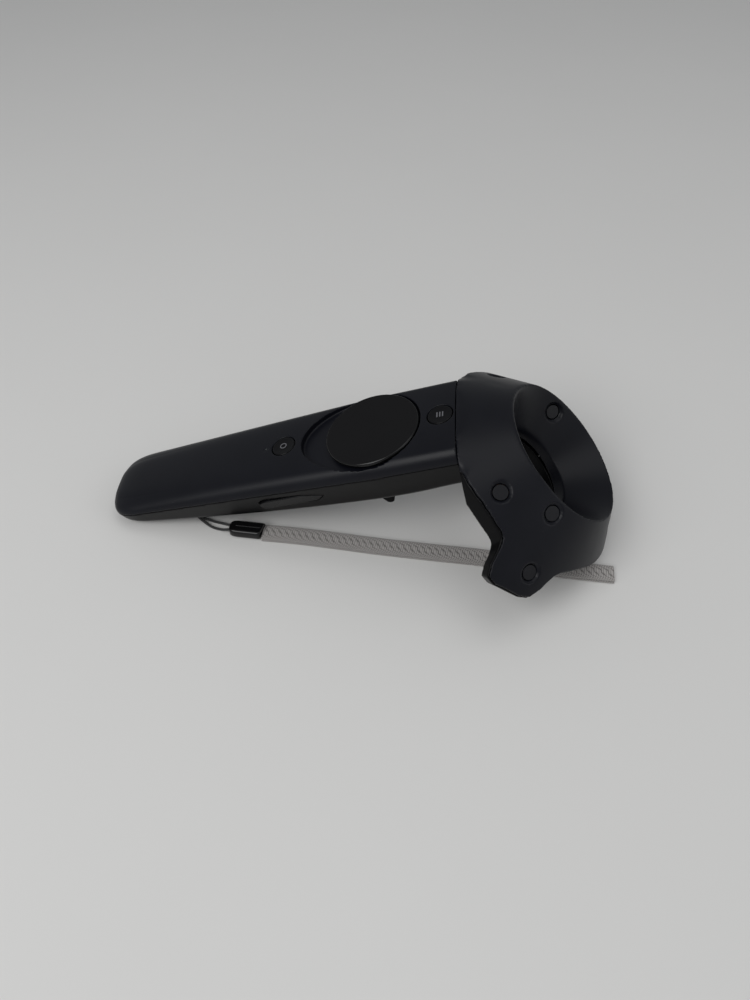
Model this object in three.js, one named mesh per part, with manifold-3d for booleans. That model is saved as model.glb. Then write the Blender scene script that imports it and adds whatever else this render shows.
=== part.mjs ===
// VR motion controller: a hand grip with trackpad, buttons and trigger, and a tilted sensor ring at its head.
//
// Frames. Everything but the wrist lanyard is drawn in the grip frame: x runs from the tail to the head along
// the top face, y to the left, z up off the top face, origin on the top face at the trackpad's centre. The
// ring has a frame of its own: origin at the centre of the rim circle, z along the ring's axis and x down the
// ring. The outermost group tips the grip nose up, as it lies on a table, and puts the origin under the middle
// of the object, on the table. Lengths are millimetres.
import * as THREE from 'three';
import { mergeVertices } from 'three/addons/utils/BufferGeometryUtils.js';
import Module from 'manifold-3d';

const wasm = await Module();
wasm.setup();

// ---------------------------------------------------------------- driving dimensions

const CLEARANCE = 0.3; // gap kept between neighbouring pieces
const CUT = 1; // how far a cutting body runs past the face that it cuts

const REST_PITCH = THREE.MathUtils.degToRad(19.5); // nose-up angle of the grip on a table

const GRIP = {
  tail: -124.4, // x of the tail's tip
  joint: 35, // x of the seam between grip and head
  halfWidthTail: 17.9,
  halfWidthPad: 22.8,
  depthTail: 13.6, // top face to underside near the tail
  depthPad: 26, // and below the trackpad
  depthJoint: 24, // and at the head seam
  seam: -6.5, // z of the seam between the top and bottom shells
  crown: 0.8, // how much the top face falls towards its edges
  shoulderTail: 7,
  shoulderPad: 4.6,
  lean: THREE.MathUtils.degToRad(17), // slope of the side walls below the seam
  heel: 4, // rounding between side wall and underside
  endLength: 15, // length of the rounded tail end
  endTaper: 0.46, // size of the tail's end face against the full section
  wall: 1.8,
};

const RING = {
  centreX: 72.6, // rim circle's centre in the grip frame
  centreZ: -32.9,
  tilt: THREE.MathUtils.degToRad(61), // rim axis against the grip's top face normal
  rim: 31.6, // rim circle's radius
  hole: 18.5, // radius of the hole at the funnel's foot
  funnelDepth: 15.2,
  band: 5.4, // straight band under the funnel
  foot: 4.4, // thickness of the underside below the band
  skirtFoot: 62, // radius where the skirt's cone is cut off by the outline
  sideDepth: 9, // height of the side wall below the skirt's edge
  draft: 2.4, // how far the side wall draws in on its way down
  earDraft: 8, // and at the side lobes
  lip: 0.9, // side wall height that belongs to the upper shell
  wall: 1.8,
};

const RING_FLOOR = -(RING.funnelDepth + RING.band + RING.foot); // height of the underside round the hole
// Radius where the underside starts to follow the skirt.
const FLOOR_EDGE = RING.rim - RING_FLOOR - RING.sideDepth;

// Side lobes: their extent along the ring and outwards.
const EAR = { rear: -17.5, front: 4.5, reach: 58.5, corner: 5 };

const PAD = {
  radius: 20,
  thickness: 2,
  gap: 0.7,
  travel: 0.5,
  stem: 13, // radius of the stem through the dish
  dishDepth: 3,
  dishReach: 31.2, // how far the dish runs towards the tail
  floor: 1.6,
};
const PAD_FOOT = -PAD.dishDepth - PAD.floor - 0.6; // underside of the trackpad's stem
const PAD_BOARD = 0.8; // thickness of the touch board under the stem

const BUTTON = { radius: 5.15, flange: 5.85, flangeThickness: 0.8, stem: 1.6, travel: 0.4 };
const SYSTEM_X = -39.5;
const MENU_X = 28.7;

const LED = { x: -47.6, radius: 0.7 };

const SQUEEZE = {
  rear: -53,
  front: -24,
  height: 6.2,
  z: -13.6,
  nose: 9, // length of the pointed front end
  proud: 0.5,
  depth: 2.6,
};

const SQUEEZE_SWITCH = { inner: 10.1, outer: 14.6 };

const TRIGGER = {
  width: 11,
  pivotX: 11,
  pivotZ: -17,
  tipX: -6,
  tipZ: -40,
  pin: 1.5,
  hub: 4,
  slotRear: -17,
  rib: 3.4, // half size of the ribs that carry the pin
};
const RIB_NEAR = TRIGGER.width / 2 + 5; // the spring lies between the lever and the left rib
const RIB_FAR = RIB_NEAR + 2;
const PIN_HALF = RIB_FAR - 0.4;

const WINDOW = { radius: 3, thickness: 1.1, mouth: 5, sink: 0.9 };

const SCREW = { head: 2.6, headHeight: 1.6, shank: 1.2, length: 12, boss: 3.4 };
const SCREW_STATIONS = [[-110, 9.6], [22, 12]]; // x and distance to each side of the middle

const BOARD = { rear: -91.5, front: 30, halfWidth: 9, top: -8.4, thickness: 1.2 };
const BATTERY = { rear: -91.5, front: -30, halfWidth: 9.5, thickness: 6.6, gap: 0.6 };
const HAPTIC = { x: 25, radius: 4.2, halfLength: 6 };
const USB = { width: 7.6, height: 2.7, depth: 5.4, z: -9.2, wall: 0.5 };
const LANYARD_BAR = {
  x: -99,
  radius: 0.9,
  halfLength: 6.4,
  rise: 1.9, // axis above the underside
  slotLength: 9,
  slotHalfWidth: 3.6,
  pocket: 5.2, // depth of the cleft
};

const HEAD_FRAME = { inner: RING.rim + 3.4, outer: RING.rim + 9.4, bottom: -18.4, height: 4.6, flex: 0.4 };

const SURFACE = { curve: 3, stations: 18, round: 44, small: 12 };

// ---------------------------------------------------------------- colours

const FINISH = {
  matteShell: { color: 0x16181d, roughness: 0.62, metalness: 0 },
  satinShell: { color: 0x141416, roughness: 0.38, metalness: 0 },
  pad: { color: 0x18181a, roughness: 0.72, metalness: 0 },
  button: { color: 0x151619, roughness: 0.5, metalness: 0 },
  window: { color: 0x17161a, roughness: 0.3, metalness: 0 },
  light: { color: 0xb8c4c0, roughness: 0.35, metalness: 0 },
  board: { color: 0x1c4a30, roughness: 0.55, metalness: 0 },
  flex: { color: 0x9a5a22, roughness: 0.5, metalness: 0 },
  battery: { color: 0x9aa0a6, roughness: 0.45, metalness: 0.3 },
  steel: { color: 0x9a9ca0, roughness: 0.35, metalness: 1 },
  darkSteel: { color: 0x2a2a2c, roughness: 0.4, metalness: 1 },
  frame: { color: 0x2c2d30, roughness: 0.6, metalness: 0 },
  cord: { color: 0x0c0c0d, roughness: 0.55, metalness: 0 },
  clasp: { color: 0x08080a, roughness: 0.12, metalness: 0 },
  webbing: { color: 0x8b8682, roughness: 0.85, metalness: 0 },
};

// ---------------------------------------------------------------- solids

// Closed geometry to boolean solid.
function solid(geometry) {
  const bare = geometry.clone();
  bare.deleteAttribute('normal');
  bare.deleteAttribute('uv');
  const merged = mergeVertices(bare, 1e-4);
  return new wasm.Manifold(new wasm.Mesh({
    numProp: 3,
    vertProperties: new Float32Array(merged.attributes.position.array),
    triVerts: new Uint32Array(merged.index.array),
  }));
}

// Boolean solid to drawable geometry.
function drawable(body) {
  const { vertProperties, triVerts } = body.getMesh();
  const geometry = new THREE.BufferGeometry();
  geometry.setAttribute('position', new THREE.BufferAttribute(vertProperties, 3));
  geometry.setIndex(new THREE.BufferAttribute(triVerts, 1));
  geometry.computeVertexNormals();
  return geometry;
}

const join = (...bodies) => bodies.reduce((sum, body) => sum.add(body));

// Box between two corners.
function block(low, high) {
  const geometry = new THREE.BoxGeometry(high[0] - low[0], high[1] - low[1], high[2] - low[2]);
  geometry.translate((low[0] + high[0]) / 2, (low[1] + high[1]) / 2, (low[2] + high[2]) / 2);
  return geometry;
}

// Body of revolution about z from [radius, height] pairs, bottom to top, that start and end on the axis.
function turned(profile, sides = SURFACE.small) {
  const geometry = new THREE.LatheGeometry(profile.map(([r, h]) => new THREE.Vector2(r, h)), sides);
  return geometry.rotateX(Math.PI / 2);
}

const rod = (radius, bottom, top, sides = SURFACE.small) =>
  turned([[0, bottom], [radius, bottom], [radius, top], [0, top]], sides);

// Flat outline in the xy plane, thickened from one height to another.
function slab(shape, bottom, top, curveSegments = 12) {
  const depth = top - bottom;
  const geometry = new THREE.ExtrudeGeometry(shape, { depth, bevelEnabled: false, curveSegments });
  return geometry.translate(0, 0, bottom);
}

// Skin over rings of points that all have the same count, capped at both ends.
function loft(rings) {
  const count = rings[0].length;
  const positions = rings.flat().flatMap((point) => point.toArray());
  const index = [];
  for (let ring = 0; ring < rings.length - 1; ring += 1) {
    for (let i = 0; i < count; i += 1) {
      const next = (i + 1) % count;
      const a = ring * count + i;
      const b = ring * count + next;
      index.push(a, b + count, b, a, a + count, b + count);
    }
  }
  for (const [ring, flip] of [[0, false], [rings.length - 1, true]]) {
    const centre = rings[ring].reduce((sum, p) => sum.add(p), new THREE.Vector3()).divideScalar(count);
    const hub = positions.length / 3;
    positions.push(...centre.toArray());
    for (let i = 0; i < count; i += 1) {
      const a = ring * count + i;
      const b = ring * count + (i + 1) % count;
      index.push(...(flip ? [hub, b, a] : [hub, a, b]));
    }
  }
  const geometry = new THREE.BufferGeometry();
  geometry.setAttribute('position', new THREE.Float32BufferAttribute(positions, 3));
  geometry.setIndex(index);
  return geometry;
}

// Straight-sided outline with rounded corners; each corner is [x, y, radius].
function roundedOutline(corners) {
  const shape = new THREE.Shape();
  const points = corners.map(([x, y]) => new THREE.Vector2(x, y));
  corners.forEach(([, , radius], i) => {
    const here = points[i];
    const towards = (point) => point.clone().sub(here).setLength(radius).add(here);
    const before = towards(points[(i + points.length - 1) % points.length]);
    const after = towards(points[(i + 1) % points.length]);
    if (i === 0) shape.moveTo(before.x, before.y);
    else shape.lineTo(before.x, before.y);
    shape.quadraticCurveTo(here.x, here.y, after.x, after.y);
  });
  shape.closePath();
  return shape;
}

// ---------------------------------------------------------------- grip body

// Half width, top, underside and shoulder of the grip's section at x; inset draws it in all round.
function gripSize(x, inset) {
  const along = THREE.MathUtils.clamp((x - GRIP.tail) / (0 - GRIP.tail), 0, 1);
  const towardsJoint = THREE.MathUtils.smoothstep(x, 8, GRIP.joint);
  const fullDepth = THREE.MathUtils.lerp(GRIP.depthTail, GRIP.depthPad, Math.sin(along * Math.PI / 2) ** 0.9);
  return {
    halfWidth: THREE.MathUtils.lerp(GRIP.halfWidthTail, GRIP.halfWidthPad, along) - inset,
    top: -1.4 * (1 - along) ** 3 - inset,
    bottom: -THREE.MathUtils.lerp(fullDepth, GRIP.depthJoint, towardsJoint) + inset,
    shoulder: THREE.MathUtils.lerp(GRIP.shoulderTail, GRIP.shoulderPad, along) - inset / 2,
  };
}

// Closed ring of points of the grip's section at x.
function gripRing(x, inset) {
  const { halfWidth, top, bottom, shoulder } = gripSize(x, inset);
  const half = new THREE.Path();
  half.moveTo(0, top);
  half.quadraticCurveTo(halfWidth / 2, top, halfWidth - shoulder, top - GRIP.crown);
  half.bezierCurveTo(
    halfWidth - shoulder / 3, top - GRIP.crown - shoulder / 10,
    halfWidth, GRIP.seam + shoulder / 3,
    halfWidth, GRIP.seam,
  );
  const draw = (GRIP.seam - bottom) * Math.tan(GRIP.lean);
  half.lineTo(halfWidth - draw * (1 - GRIP.heel / (GRIP.seam - bottom)), bottom + GRIP.heel);
  half.quadraticCurveTo(halfWidth - draw, bottom, halfWidth - draw - GRIP.heel, bottom);
  half.lineTo(0, bottom);
  const right = half.getPoints(SURFACE.curve);
  const left = right.slice(1, -1).reverse().map((p) => new THREE.Vector2(-p.x, p.y));
  // The tail's end rounds the section down towards its middle height.
  const reach = THREE.MathUtils.clamp((x - GRIP.tail - inset) / GRIP.endLength, 0, 1);
  const round = (1 - (1 - reach) ** 2.6) ** (1 / 2.6);
  const scale = GRIP.endTaper + (1 - GRIP.endTaper) * round;
  const middle = (top + bottom) / 2;
  return [...right, ...left].map(
    (p) => new THREE.Vector3(x, p.x * scale, middle + (p.y - middle) * (0.4 + 0.6 * scale)),
  );
}

// The grip's body from the tail to x = front.
function gripBody(front, inset) {
  const tail = GRIP.tail + inset;
  const stations = [];
  const endSteps = 7;
  for (let i = 0; i < endSteps; i += 1) stations.push(tail + GRIP.endLength * (i / endSteps) ** 1.8);
  const steps = SURFACE.stations - endSteps;
  for (let i = 0; i <= steps; i += 1) {
    stations.push(THREE.MathUtils.lerp(tail + GRIP.endLength, front, i / steps));
  }
  return solid(loft(stations.map((x) => gripRing(x, inset))));
}

// Outline of the dish round the trackpad: round towards the head, drawn out towards the tail.
function dishOutline(grow) {
  const radius = PAD.radius + PAD.gap + grow;
  const shape = new THREE.Shape();
  shape.absellipse(0, 0, radius, radius, -Math.PI / 2, Math.PI / 2, false, 0);
  shape.absellipse(0, 0, PAD.dishReach + grow, radius, Math.PI / 2, 3 * Math.PI / 2, false, 0);
  return shape;
}

// ---------------------------------------------------------------- ring body

const ringMatrix = new THREE.Matrix4()
  .makeTranslation(RING.centreX, 0, RING.centreZ)
  .multiply(new THREE.Matrix4().makeRotationY(RING.tilt));

const inGrip = (geometry) => geometry.applyMatrix4(ringMatrix);

// Outline of the head across the ring's axis: round at the foot, two side lobes, and a neck towards the grip.
function headOutline(inset) {
  const ear = EAR.reach - inset;
  const rear = EAR.rear + inset;
  const front = EAR.front - inset;
  const half = [
    [-64, 17 - inset, 2],
    [-45, 21.4 - inset, 5],
    [-38, 32 - inset, 5],
    [-24, 42.6 - inset, 4],
    [rear - 1, 45.6 - inset, 3],
    [rear, ear, EAR.corner],
    [front, ear, EAR.corner],
    [front + 5, 47.5 - inset, 4],
    [17 - inset * 0.2, 43.5 - inset * 0.95, 4],
    [30 - inset * 0.5, 34.5 - inset * 0.85, 5],
    [40 - inset * 0.8, 22.5 - inset * 0.6, 6],
    [44.5 - inset, 9, 5],
  ];
  const mirrored = half.map(([x, y, r]) => [x, -y, r]).reverse();
  return roundedOutline([...half, ...mirrored]);
}

// Everything inside the outline, with side walls that draw in below the skirt's edge.
function headPrism(inset) {
  const outline = headOutline(inset).getPoints(2).slice(0, -1);
  const level = (heightOf, draftShare) => outline.map((p) => {
    const reach = p.length();
    const atEar = THREE.MathUtils.smoothstep(reach, RING.rim * 1.55, EAR.reach);
    const draw = THREE.MathUtils.lerp(RING.draft, RING.earDraft, atEar) * draftShare;
    const k = 1 - draw / reach;
    return new THREE.Vector3(p.x * k, p.y * k, heightOf(reach));
  });
  const edge = (reach) => RING.rim - reach - 2 * inset - 1.5;
  return loft([
    level(() => -80, 1 + 60 / RING.sideDepth * 0.2),
    level((reach) => edge(reach) - RING.sideDepth, 1),
    level(edge, 0),
    level(() => 20, 0),
  ]);
}

// Solid under the skirt's cone, lowered by drop, over the underside, raised by lift.
function skirtCone(drop, lift) {
  const foot = RING.skirtFoot;
  const slope = foot - RING.rim; // the skirt falls one for one
  return turned([
    [0, RING_FLOOR + lift],
    [FLOOR_EDGE, RING_FLOOR + lift],
    [foot, -slope - RING.sideDepth + lift],
    [foot, -slope - drop],
    [RING.rim, -drop],
    [0, -drop],
  ], SURFACE.round);
}

// Funnel and hole, grown outwards by wall.
function funnelCut(wall) {
  const deep = RING.funnelDepth + RING.band + 40;
  return turned([
    [0, -deep],
    [RING.hole + wall, -deep],
    [RING.hole + wall, -RING.funnelDepth],
    [RING.rim + wall, 0],
    [RING.rim + wall + CUT * 2, CUT * 2],
    [0, CUT * 2],
  ], SURFACE.round);
}

// Ceiling that carries the grip's top face on over the neck.
function ceiling(inset) {
  const shape = new THREE.Shape();
  const reach = 80;
  shape.moveTo(-reach, -100);
  shape.lineTo(reach, -100);
  shape.lineTo(reach, -inset - 14);
  shape.quadraticCurveTo(GRIP.halfWidthPad, -inset, 0, -inset);
  shape.quadraticCurveTo(-GRIP.halfWidthPad, -inset, -reach, -inset - 14);
  shape.closePath();
  const geometry = new THREE.ExtrudeGeometry(shape, { depth: 200, bevelEnabled: false, curveSegments: 10 });
  return geometry.rotateX(Math.PI / 2).rotateZ(Math.PI / 2).translate(-60, 0, 0);
}

function headBody(inset) {
  const drop = inset * Math.SQRT2;
  const cone = solid(inGrip(skirtCone(drop, inset))).intersect(solid(inGrip(headPrism(inset))));
  const neck = gripBody(GRIP.joint + 14, inset)
    .intersect(solid(block([0, -60, -60], [200, 60, 60])))
    .intersect(solid(inGrip(skirtCone(drop, -60))));
  return join(cone.intersect(solid(ceiling(inset))), neck);
}

// ---------------------------------------------------------------- sensor windows

// Place of a window on the ring: angle from the neck in degrees, distance from the axis, which face it is in.
const skirtHeight = (r) => RING.rim - r;
const funnelHeight = (r) => -RING.funnelDepth * (RING.rim - r) / (RING.rim - RING.hole);
const undersideHeight = (r) => RING_FLOOR + Math.min(FLOOR_EDGE - r, 0);
const FACES = {
  skirt: { height: skirtHeight, lean: Math.PI / 4 },
  funnel: { height: funnelHeight, lean: -Math.atan2(RING.funnelDepth, RING.rim - RING.hole) },
  floor: { height: undersideHeight, lean: Math.PI },
};

const UPPER_WINDOWS = [
  [50, 43.2, 'skirt'], [79, 35.8, 'skirt'], [88, 52, 'skirt'], [93, 27.6, 'funnel'], [157, 38.4, 'skirt'],
];
const LOWER_WINDOWS = [
  [20, 28, 'floor'], [52, 28, 'floor'], [84, 28, 'floor'], [116, 28, 'floor'], [148, 28, 'floor'],
  [86, 42, 'floor'], [136, 40, 'floor'],
];

// Matrix that stands a window's axis on the face at its place, in the grip frame.
function windowMatrix([angle, radius, face], side) {
  const turn = Math.PI - side * THREE.MathUtils.degToRad(angle);
  const { height, lean } = FACES[face];
  return ringMatrix.clone()
    .multiply(new THREE.Matrix4().makeRotationZ(turn))
    .multiply(new THREE.Matrix4().makeTranslation(radius, 0, height(radius)))
    .multiply(new THREE.Matrix4().makeRotationY(lean));
}

// Countersunk hole for a window.
function windowCut() {
  const reach = 6;
  const bore = WINDOW.radius + CLEARANCE;
  return turned([
    [0, -reach], [bore, -reach], [bore, -WINDOW.sink],
    [WINDOW.mouth, 0], [WINDOW.mouth + CUT, CUT], [0, CUT],
  ]);
}

function windowPane() {
  return rod(WINDOW.radius, -WINDOW.sink - WINDOW.thickness, -WINDOW.sink);
}

// ---------------------------------------------------------------- shells

function gripShells() {
  const { wall, joint, seam } = GRIP;
  const front = joint - CLEARANCE / 2;
  const outer = gripBody(front, 0);
  const shell = outer.subtract(gripBody(front + CUT, wall));
  const above = solid(block([GRIP.tail - 9, -60, seam + CLEARANCE / 2], [joint + 9, 60, 30]));
  const below = solid(block([GRIP.tail - 9, -60, -60], [joint + 9, 60, seam - CLEARANCE / 2]));

  const dish = solid(slab(dishOutline(0), -PAD.dishDepth, 10, 20));
  const tub = solid(slab(dishOutline(wall), -PAD.dishDepth - PAD.floor, 10, 20));
  const stemHole = solid(rod(PAD.stem + CLEARANCE * 2, -20, 10, 32));
  const buttonHole = (x) => solid(rod(BUTTON.radius + CLEARANCE, -6, 6, 24).translate(x, 0, 0));
  const lightHole = solid(rod(LED.radius + CLEARANCE, -6, 6, 12).translate(LED.x, 0, 0));
  const bosses = screwPlaces().map(([x, y]) => {
    const post = rod(SCREW.boss, seam + CLEARANCE, -CUT / 2).translate(x, y, 0);
    return solid(post).intersect(outer);
  });
  const pilots = screwPlaces().map(
    ([x, y]) => solid(rod(SCREW.shank + CLEARANCE, -9, -2.6).translate(x, y, 0)),
  );
  const usb = solid(block(
    [GRIP.tail - 2, -USB.width / 2 - CLEARANCE, USB.z - USB.height / 2 - CLEARANCE],
    [GRIP.tail + USB.depth + 6, USB.width / 2 + CLEARANCE, USB.z + USB.height / 2 + CLEARANCE],
  ));

  let top = join(shell.intersect(above), tub.intersect(outer).intersect(above), ...bosses);
  for (const cut of [dish, stemHole, buttonHole(SYSTEM_X), buttonHole(MENU_X), lightHole, usb, ...pilots]) {
    top = top.subtract(cut);
  }

  const slot = solid(block(
    [TRIGGER.slotRear, -TRIGGER.width / 2 - CLEARANCE * 2, -60],
    [TRIGGER.pivotX + TRIGGER.hub + CLEARANCE * 3, TRIGGER.width / 2 + CLEARANCE * 2, TRIGGER.pivotZ - 2],
  ));
  const screwHoles = screwPlaces().flatMap(([x, y]) => {
    const { bottom } = gripSize(x, 0);
    const seat = bottom + SCREW.headHeight + CLEARANCE;
    return [
      solid(rod(SCREW.shank + CLEARANCE, -40, 0).translate(x, y, 0)),
      solid(rod(SCREW.head + CLEARANCE, -40, seat).translate(x, y, 0)),
    ];
  });
  const screwPads = screwPlaces().map(([x, y]) => {
    const { bottom } = gripSize(x, 0);
    const pad = rod(SCREW.boss + 0.6, bottom - 2, bottom + SCREW.headHeight + 2).translate(x, y, 0);
    return solid(pad).intersect(outer);
  });
  const ribs = [1, -1].map((side) => solid(block(
    [TRIGGER.pivotX - TRIGGER.rib, side > 0 ? RIB_NEAR : -RIB_FAR, -60],
    [TRIGGER.pivotX + TRIGGER.rib, side > 0 ? RIB_FAR : -RIB_NEAR, TRIGGER.pivotZ + TRIGGER.rib],
  )).intersect(outer).intersect(below));
  const pinBore = solid(rod(TRIGGER.pin + CLEARANCE, -PIN_HALF - CLEARANCE, PIN_HALF + CLEARANCE)
    .rotateX(Math.PI / 2).translate(TRIGGER.pivotX, 0, TRIGGER.pivotZ));
  const cleft = lanyardPocket(0);
  const cleftWall = lanyardPocket(wall).intersect(outer).intersect(below);
  let bottom = join(shell.intersect(below), cleftWall, ...screwPads, ...ribs);
  for (const cut of [slot, pinBore, usb, cleft, barHole(), squeezeCut(1), squeezeCut(-1), ...screwHoles]) {
    bottom = bottom.subtract(cut);
  }
  return { top, bottom };
}

function screwPlaces() {
  return SCREW_STATIONS.flatMap(([x, y]) => [[x, y], [x, -y]]);
}

function headShells() {
  const { wall } = RING;
  const start = solid(block([GRIP.joint + CLEARANCE / 2, -100, -120], [200, 100, 60]));
  const outer = headBody(0).intersect(start).subtract(solid(inGrip(funnelCut(0))));
  const inner = headBody(wall).subtract(solid(inGrip(funnelCut(wall))));
  const shell = outer.subtract(inner);

  // The upper shell is the skirt with its funnel; a low lip of side wall comes with it. Near the grip the
  // parting follows the grip's own seam.
  const drop = wall * Math.SQRT2 + 0.1;
  const lid = (gap) => {
    const seamHeight = GRIP.seam + CLEARANCE / 2 - gap;
    const parting = RING.funnelDepth + RING.band - CLEARANCE + gap;
    const bandFlange = RING.hole + wall + 0.7 + gap;
    const hollow = FLOOR_EDGE - 3;
    const farOut = RING.skirtFoot + 20;
    const skirt = (fall) => solid(inGrip(turned([
      [0, -parting], [bandFlange, -parting], [bandFlange, wall + 1.3 - parting],
      [hollow, wall + 1.3 - parting], [hollow, RING.rim - hollow - fall],
      [farOut, RING.rim - farOut - fall], [farOut, 40], [0, 40],
    ], SURFACE.round)));
    // The side walls meet in a half lap.
    const inside = solid(inGrip(headPrism(wall / 2 + CLEARANCE / 2 - gap)));
    const neck = solid(block([0, -60, seamHeight], [GRIP.joint + 9, 60, 60]));
    return join(skirt(RING.lip + gap), skirt(drop + gap).intersect(inside), neck);
  };
  let upper = shell.intersect(lid(0));
  let lower = shell.subtract(lid(CLEARANCE));
  for (const side of [1, -1]) {
    for (const place of UPPER_WINDOWS) {
      upper = upper.subtract(solid(windowCut().applyMatrix4(windowMatrix(place, side))));
    }
    for (const place of LOWER_WINDOWS) {
      lower = lower.subtract(solid(windowCut().applyMatrix4(windowMatrix(place, side))));
    }
  }
  return { upper, lower };
}

// ---------------------------------------------------------------- controls

function trackpadCap() {
  const { radius, thickness, stem } = PAD;
  return turned([
    [0, PAD_FOOT], [stem, PAD_FOOT], [stem, -thickness],
    [radius - 0.4, -thickness], [radius, -thickness + 0.4], [radius, -0.5], [radius - 0.5, 0], [0, 0],
  ], 48);
}

// Round button with a retaining flange under the shell and a stem down to its switch.
function buttonCap() {
  const under = -GRIP.wall - 0.9 - CLEARANCE;
  return turned([
    [0, BOARD.top + 2.6], [BUTTON.stem, BOARD.top + 2.6], [BUTTON.stem, under - BUTTON.flangeThickness],
    [BUTTON.flange, under - BUTTON.flangeThickness], [BUTTON.flange, under],
    [BUTTON.radius, under], [BUTTON.radius, -0.35], [BUTTON.radius - 0.35, 0], [BUTTON.radius - 1.6, -0.15],
    [0, -0.3],
  ], 24);
}

// Side outline of a squeeze button, pointed towards the head.
function squeezeOutline(grow) {
  const half = SQUEEZE.height / 2 + grow;
  const rear = SQUEEZE.rear - grow;
  const front = SQUEEZE.front + grow;
  return roundedOutline([
    [rear, -half + 1, 0.5], [rear, half - 1.6, 1], [rear + 3, half, 1.2],
    [front - SQUEEZE.nose, half, 2], [front, 0.4, 1.2], [front - 4, -half, 1.2], [rear + 1.5, -half, 0.8],
  ]);
}

// Stands an outline drawn in x and height on the grip's side wall.
function onSide(geometry, side) {
  const { halfWidth } = gripSize((SQUEEZE.rear + SQUEEZE.front) / 2, 0);
  const y = halfWidth - (GRIP.seam - SQUEEZE.z) * Math.tan(GRIP.lean);
  geometry.rotateX(Math.PI / 2 - GRIP.lean).scale(1, side, 1);
  if (side < 0) flipLoose(geometry);
  return geometry.translate(0, side * y, SQUEEZE.z);
}

// Turns the faces of a geometry without an index the other way round.
function flipLoose(geometry) {
  const { array } = geometry.attributes.position;
  for (let i = 0; i < array.length; i += 9) {
    for (let k = 0; k < 3; k += 1) {
      const held = array[i + k];
      array[i + k] = array[i + 6 + k];
      array[i + 6 + k] = held;
    }
  }
}

function squeezeCut(side) {
  return solid(onSide(slab(squeezeOutline(CLEARANCE), -12, 12, 3), side));
}

function squeezeButton(side) {
  return onSide(slab(squeezeOutline(0), -SQUEEZE.proud, SQUEEZE.depth, 3), side);
}

// Finger lever: a hub on the pin, a curved blade down to the tip, and a short arm up to the switch.
function triggerLever() {
  const { pivotX, pivotZ, tipX, tipZ, hub } = TRIGGER;
  const shape = new THREE.Shape();
  shape.moveTo(pivotX + hub, pivotZ);
  shape.quadraticCurveTo(pivotX + hub - 1, pivotZ - 6, tipX + 9, tipZ + 11);
  shape.quadraticCurveTo(tipX + 5, tipZ + 5, tipX + 3.2, tipZ + 0.4);
  shape.quadraticCurveTo(tipX + 1.6, tipZ - 1, tipX, tipZ + 0.4);
  shape.quadraticCurveTo(tipX - 3.6, tipZ + 6, tipX - 5, pivotZ - 6);
  shape.lineTo(tipX - 3.5, pivotZ - 0.5);
  shape.lineTo(pivotX - hub, pivotZ + hub * 0.8);
  shape.quadraticCurveTo(pivotX, pivotZ + hub * 1.5, pivotX + hub, pivotZ);
  const blade = slab(shape, -TRIGGER.width / 2, TRIGGER.width / 2, 5).rotateX(Math.PI / 2);
  const bore = rod(TRIGGER.pin + CLEARANCE, -20, 20).rotateX(Math.PI / 2).translate(pivotX, 0, pivotZ);
  return drawable(solid(blade).subtract(solid(bore)));
}

// ---------------------------------------------------------------- tail fittings

// Cleft in the underside that the lanyard's string passes through, grown outwards by wall.
function lanyardPocket(wall) {
  const { x, slotLength, slotHalfWidth, pocket } = LANYARD_BAR;
  const { bottom } = gripSize(x, 0);
  return solid(block(
    [x - slotLength / 2 - wall, -slotHalfWidth - wall, bottom - 6],
    [x + slotLength / 2 + wall, slotHalfWidth + wall, bottom + pocket + wall],
  ));
}

function barPlace(geometry) {
  const { bottom } = gripSize(LANYARD_BAR.x, 0);
  return geometry.rotateX(Math.PI / 2).translate(LANYARD_BAR.x, 0, bottom + LANYARD_BAR.rise);
}

const barHole = () => solid(barPlace(rod(
  LANYARD_BAR.radius + CLEARANCE, -LANYARD_BAR.halfLength - CLEARANCE, LANYARD_BAR.halfLength + CLEARANCE,
)));

const lanyardBar = () => barPlace(rod(LANYARD_BAR.radius, -LANYARD_BAR.halfLength, LANYARD_BAR.halfLength));

// Receptacle: a metal can open towards the tail.
function usbReceptacle() {
  const { width, height, depth, z, wall } = USB;
  const rear = GRIP.tail + 1.2;
  const can = block([rear, -width / 2, z - height / 2], [rear + depth, width / 2, z + height / 2]);
  const mouth = block(
    [rear - CUT, -width / 2 + wall, z - height / 2 + wall],
    [rear + depth - 1, width / 2 - wall, z + height / 2 - wall],
  );
  return drawable(solid(can).subtract(solid(mouth)));
}

// ---------------------------------------------------------------- inner pieces

function ringPlate(inner, outer, bottom, top) {
  return inGrip(turned([
    [inner, bottom], [outer, bottom], [outer, top], [inner, top], [inner, bottom],
  ], SURFACE.round / 2));
}

function screw([x, y]) {
  const { bottom } = gripSize(x, 0);
  const seat = bottom + SCREW.headHeight;
  const body = turned([
    [0, bottom + CLEARANCE], [SCREW.head, bottom + CLEARANCE], [SCREW.head, seat],
    [SCREW.shank, seat], [SCREW.shank, seat + SCREW.length], [0, seat + SCREW.length],
  ]);
  return body.translate(x, y, 0);
}

// Torsion spring round the trigger's hub, beside the lever.
function torsionSpring() {
  const turns = 3;
  const radius = 3;
  const pitch = 0.9;
  const side = TRIGGER.width / 2 + 1.2;
  class Helix extends THREE.Curve {
    getPoint(t, target = new THREE.Vector3()) {
      const angle = t * turns * 2 * Math.PI;
      return target.set(
        TRIGGER.pivotX + radius * Math.cos(angle),
        side + t * turns * pitch,
        TRIGGER.pivotZ + radius * Math.sin(angle),
      );
    }
  }
  const wire = new THREE.Shape().absarc(0, 0, 0.3, 0, 2 * Math.PI);
  const extrudePath = new Helix();
  return new THREE.ExtrudeGeometry(wire, { steps: 36, extrudePath, curveSegments: 3, bevelEnabled: false });
}

// ---------------------------------------------------------------- wrist lanyard, in the table frame

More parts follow.
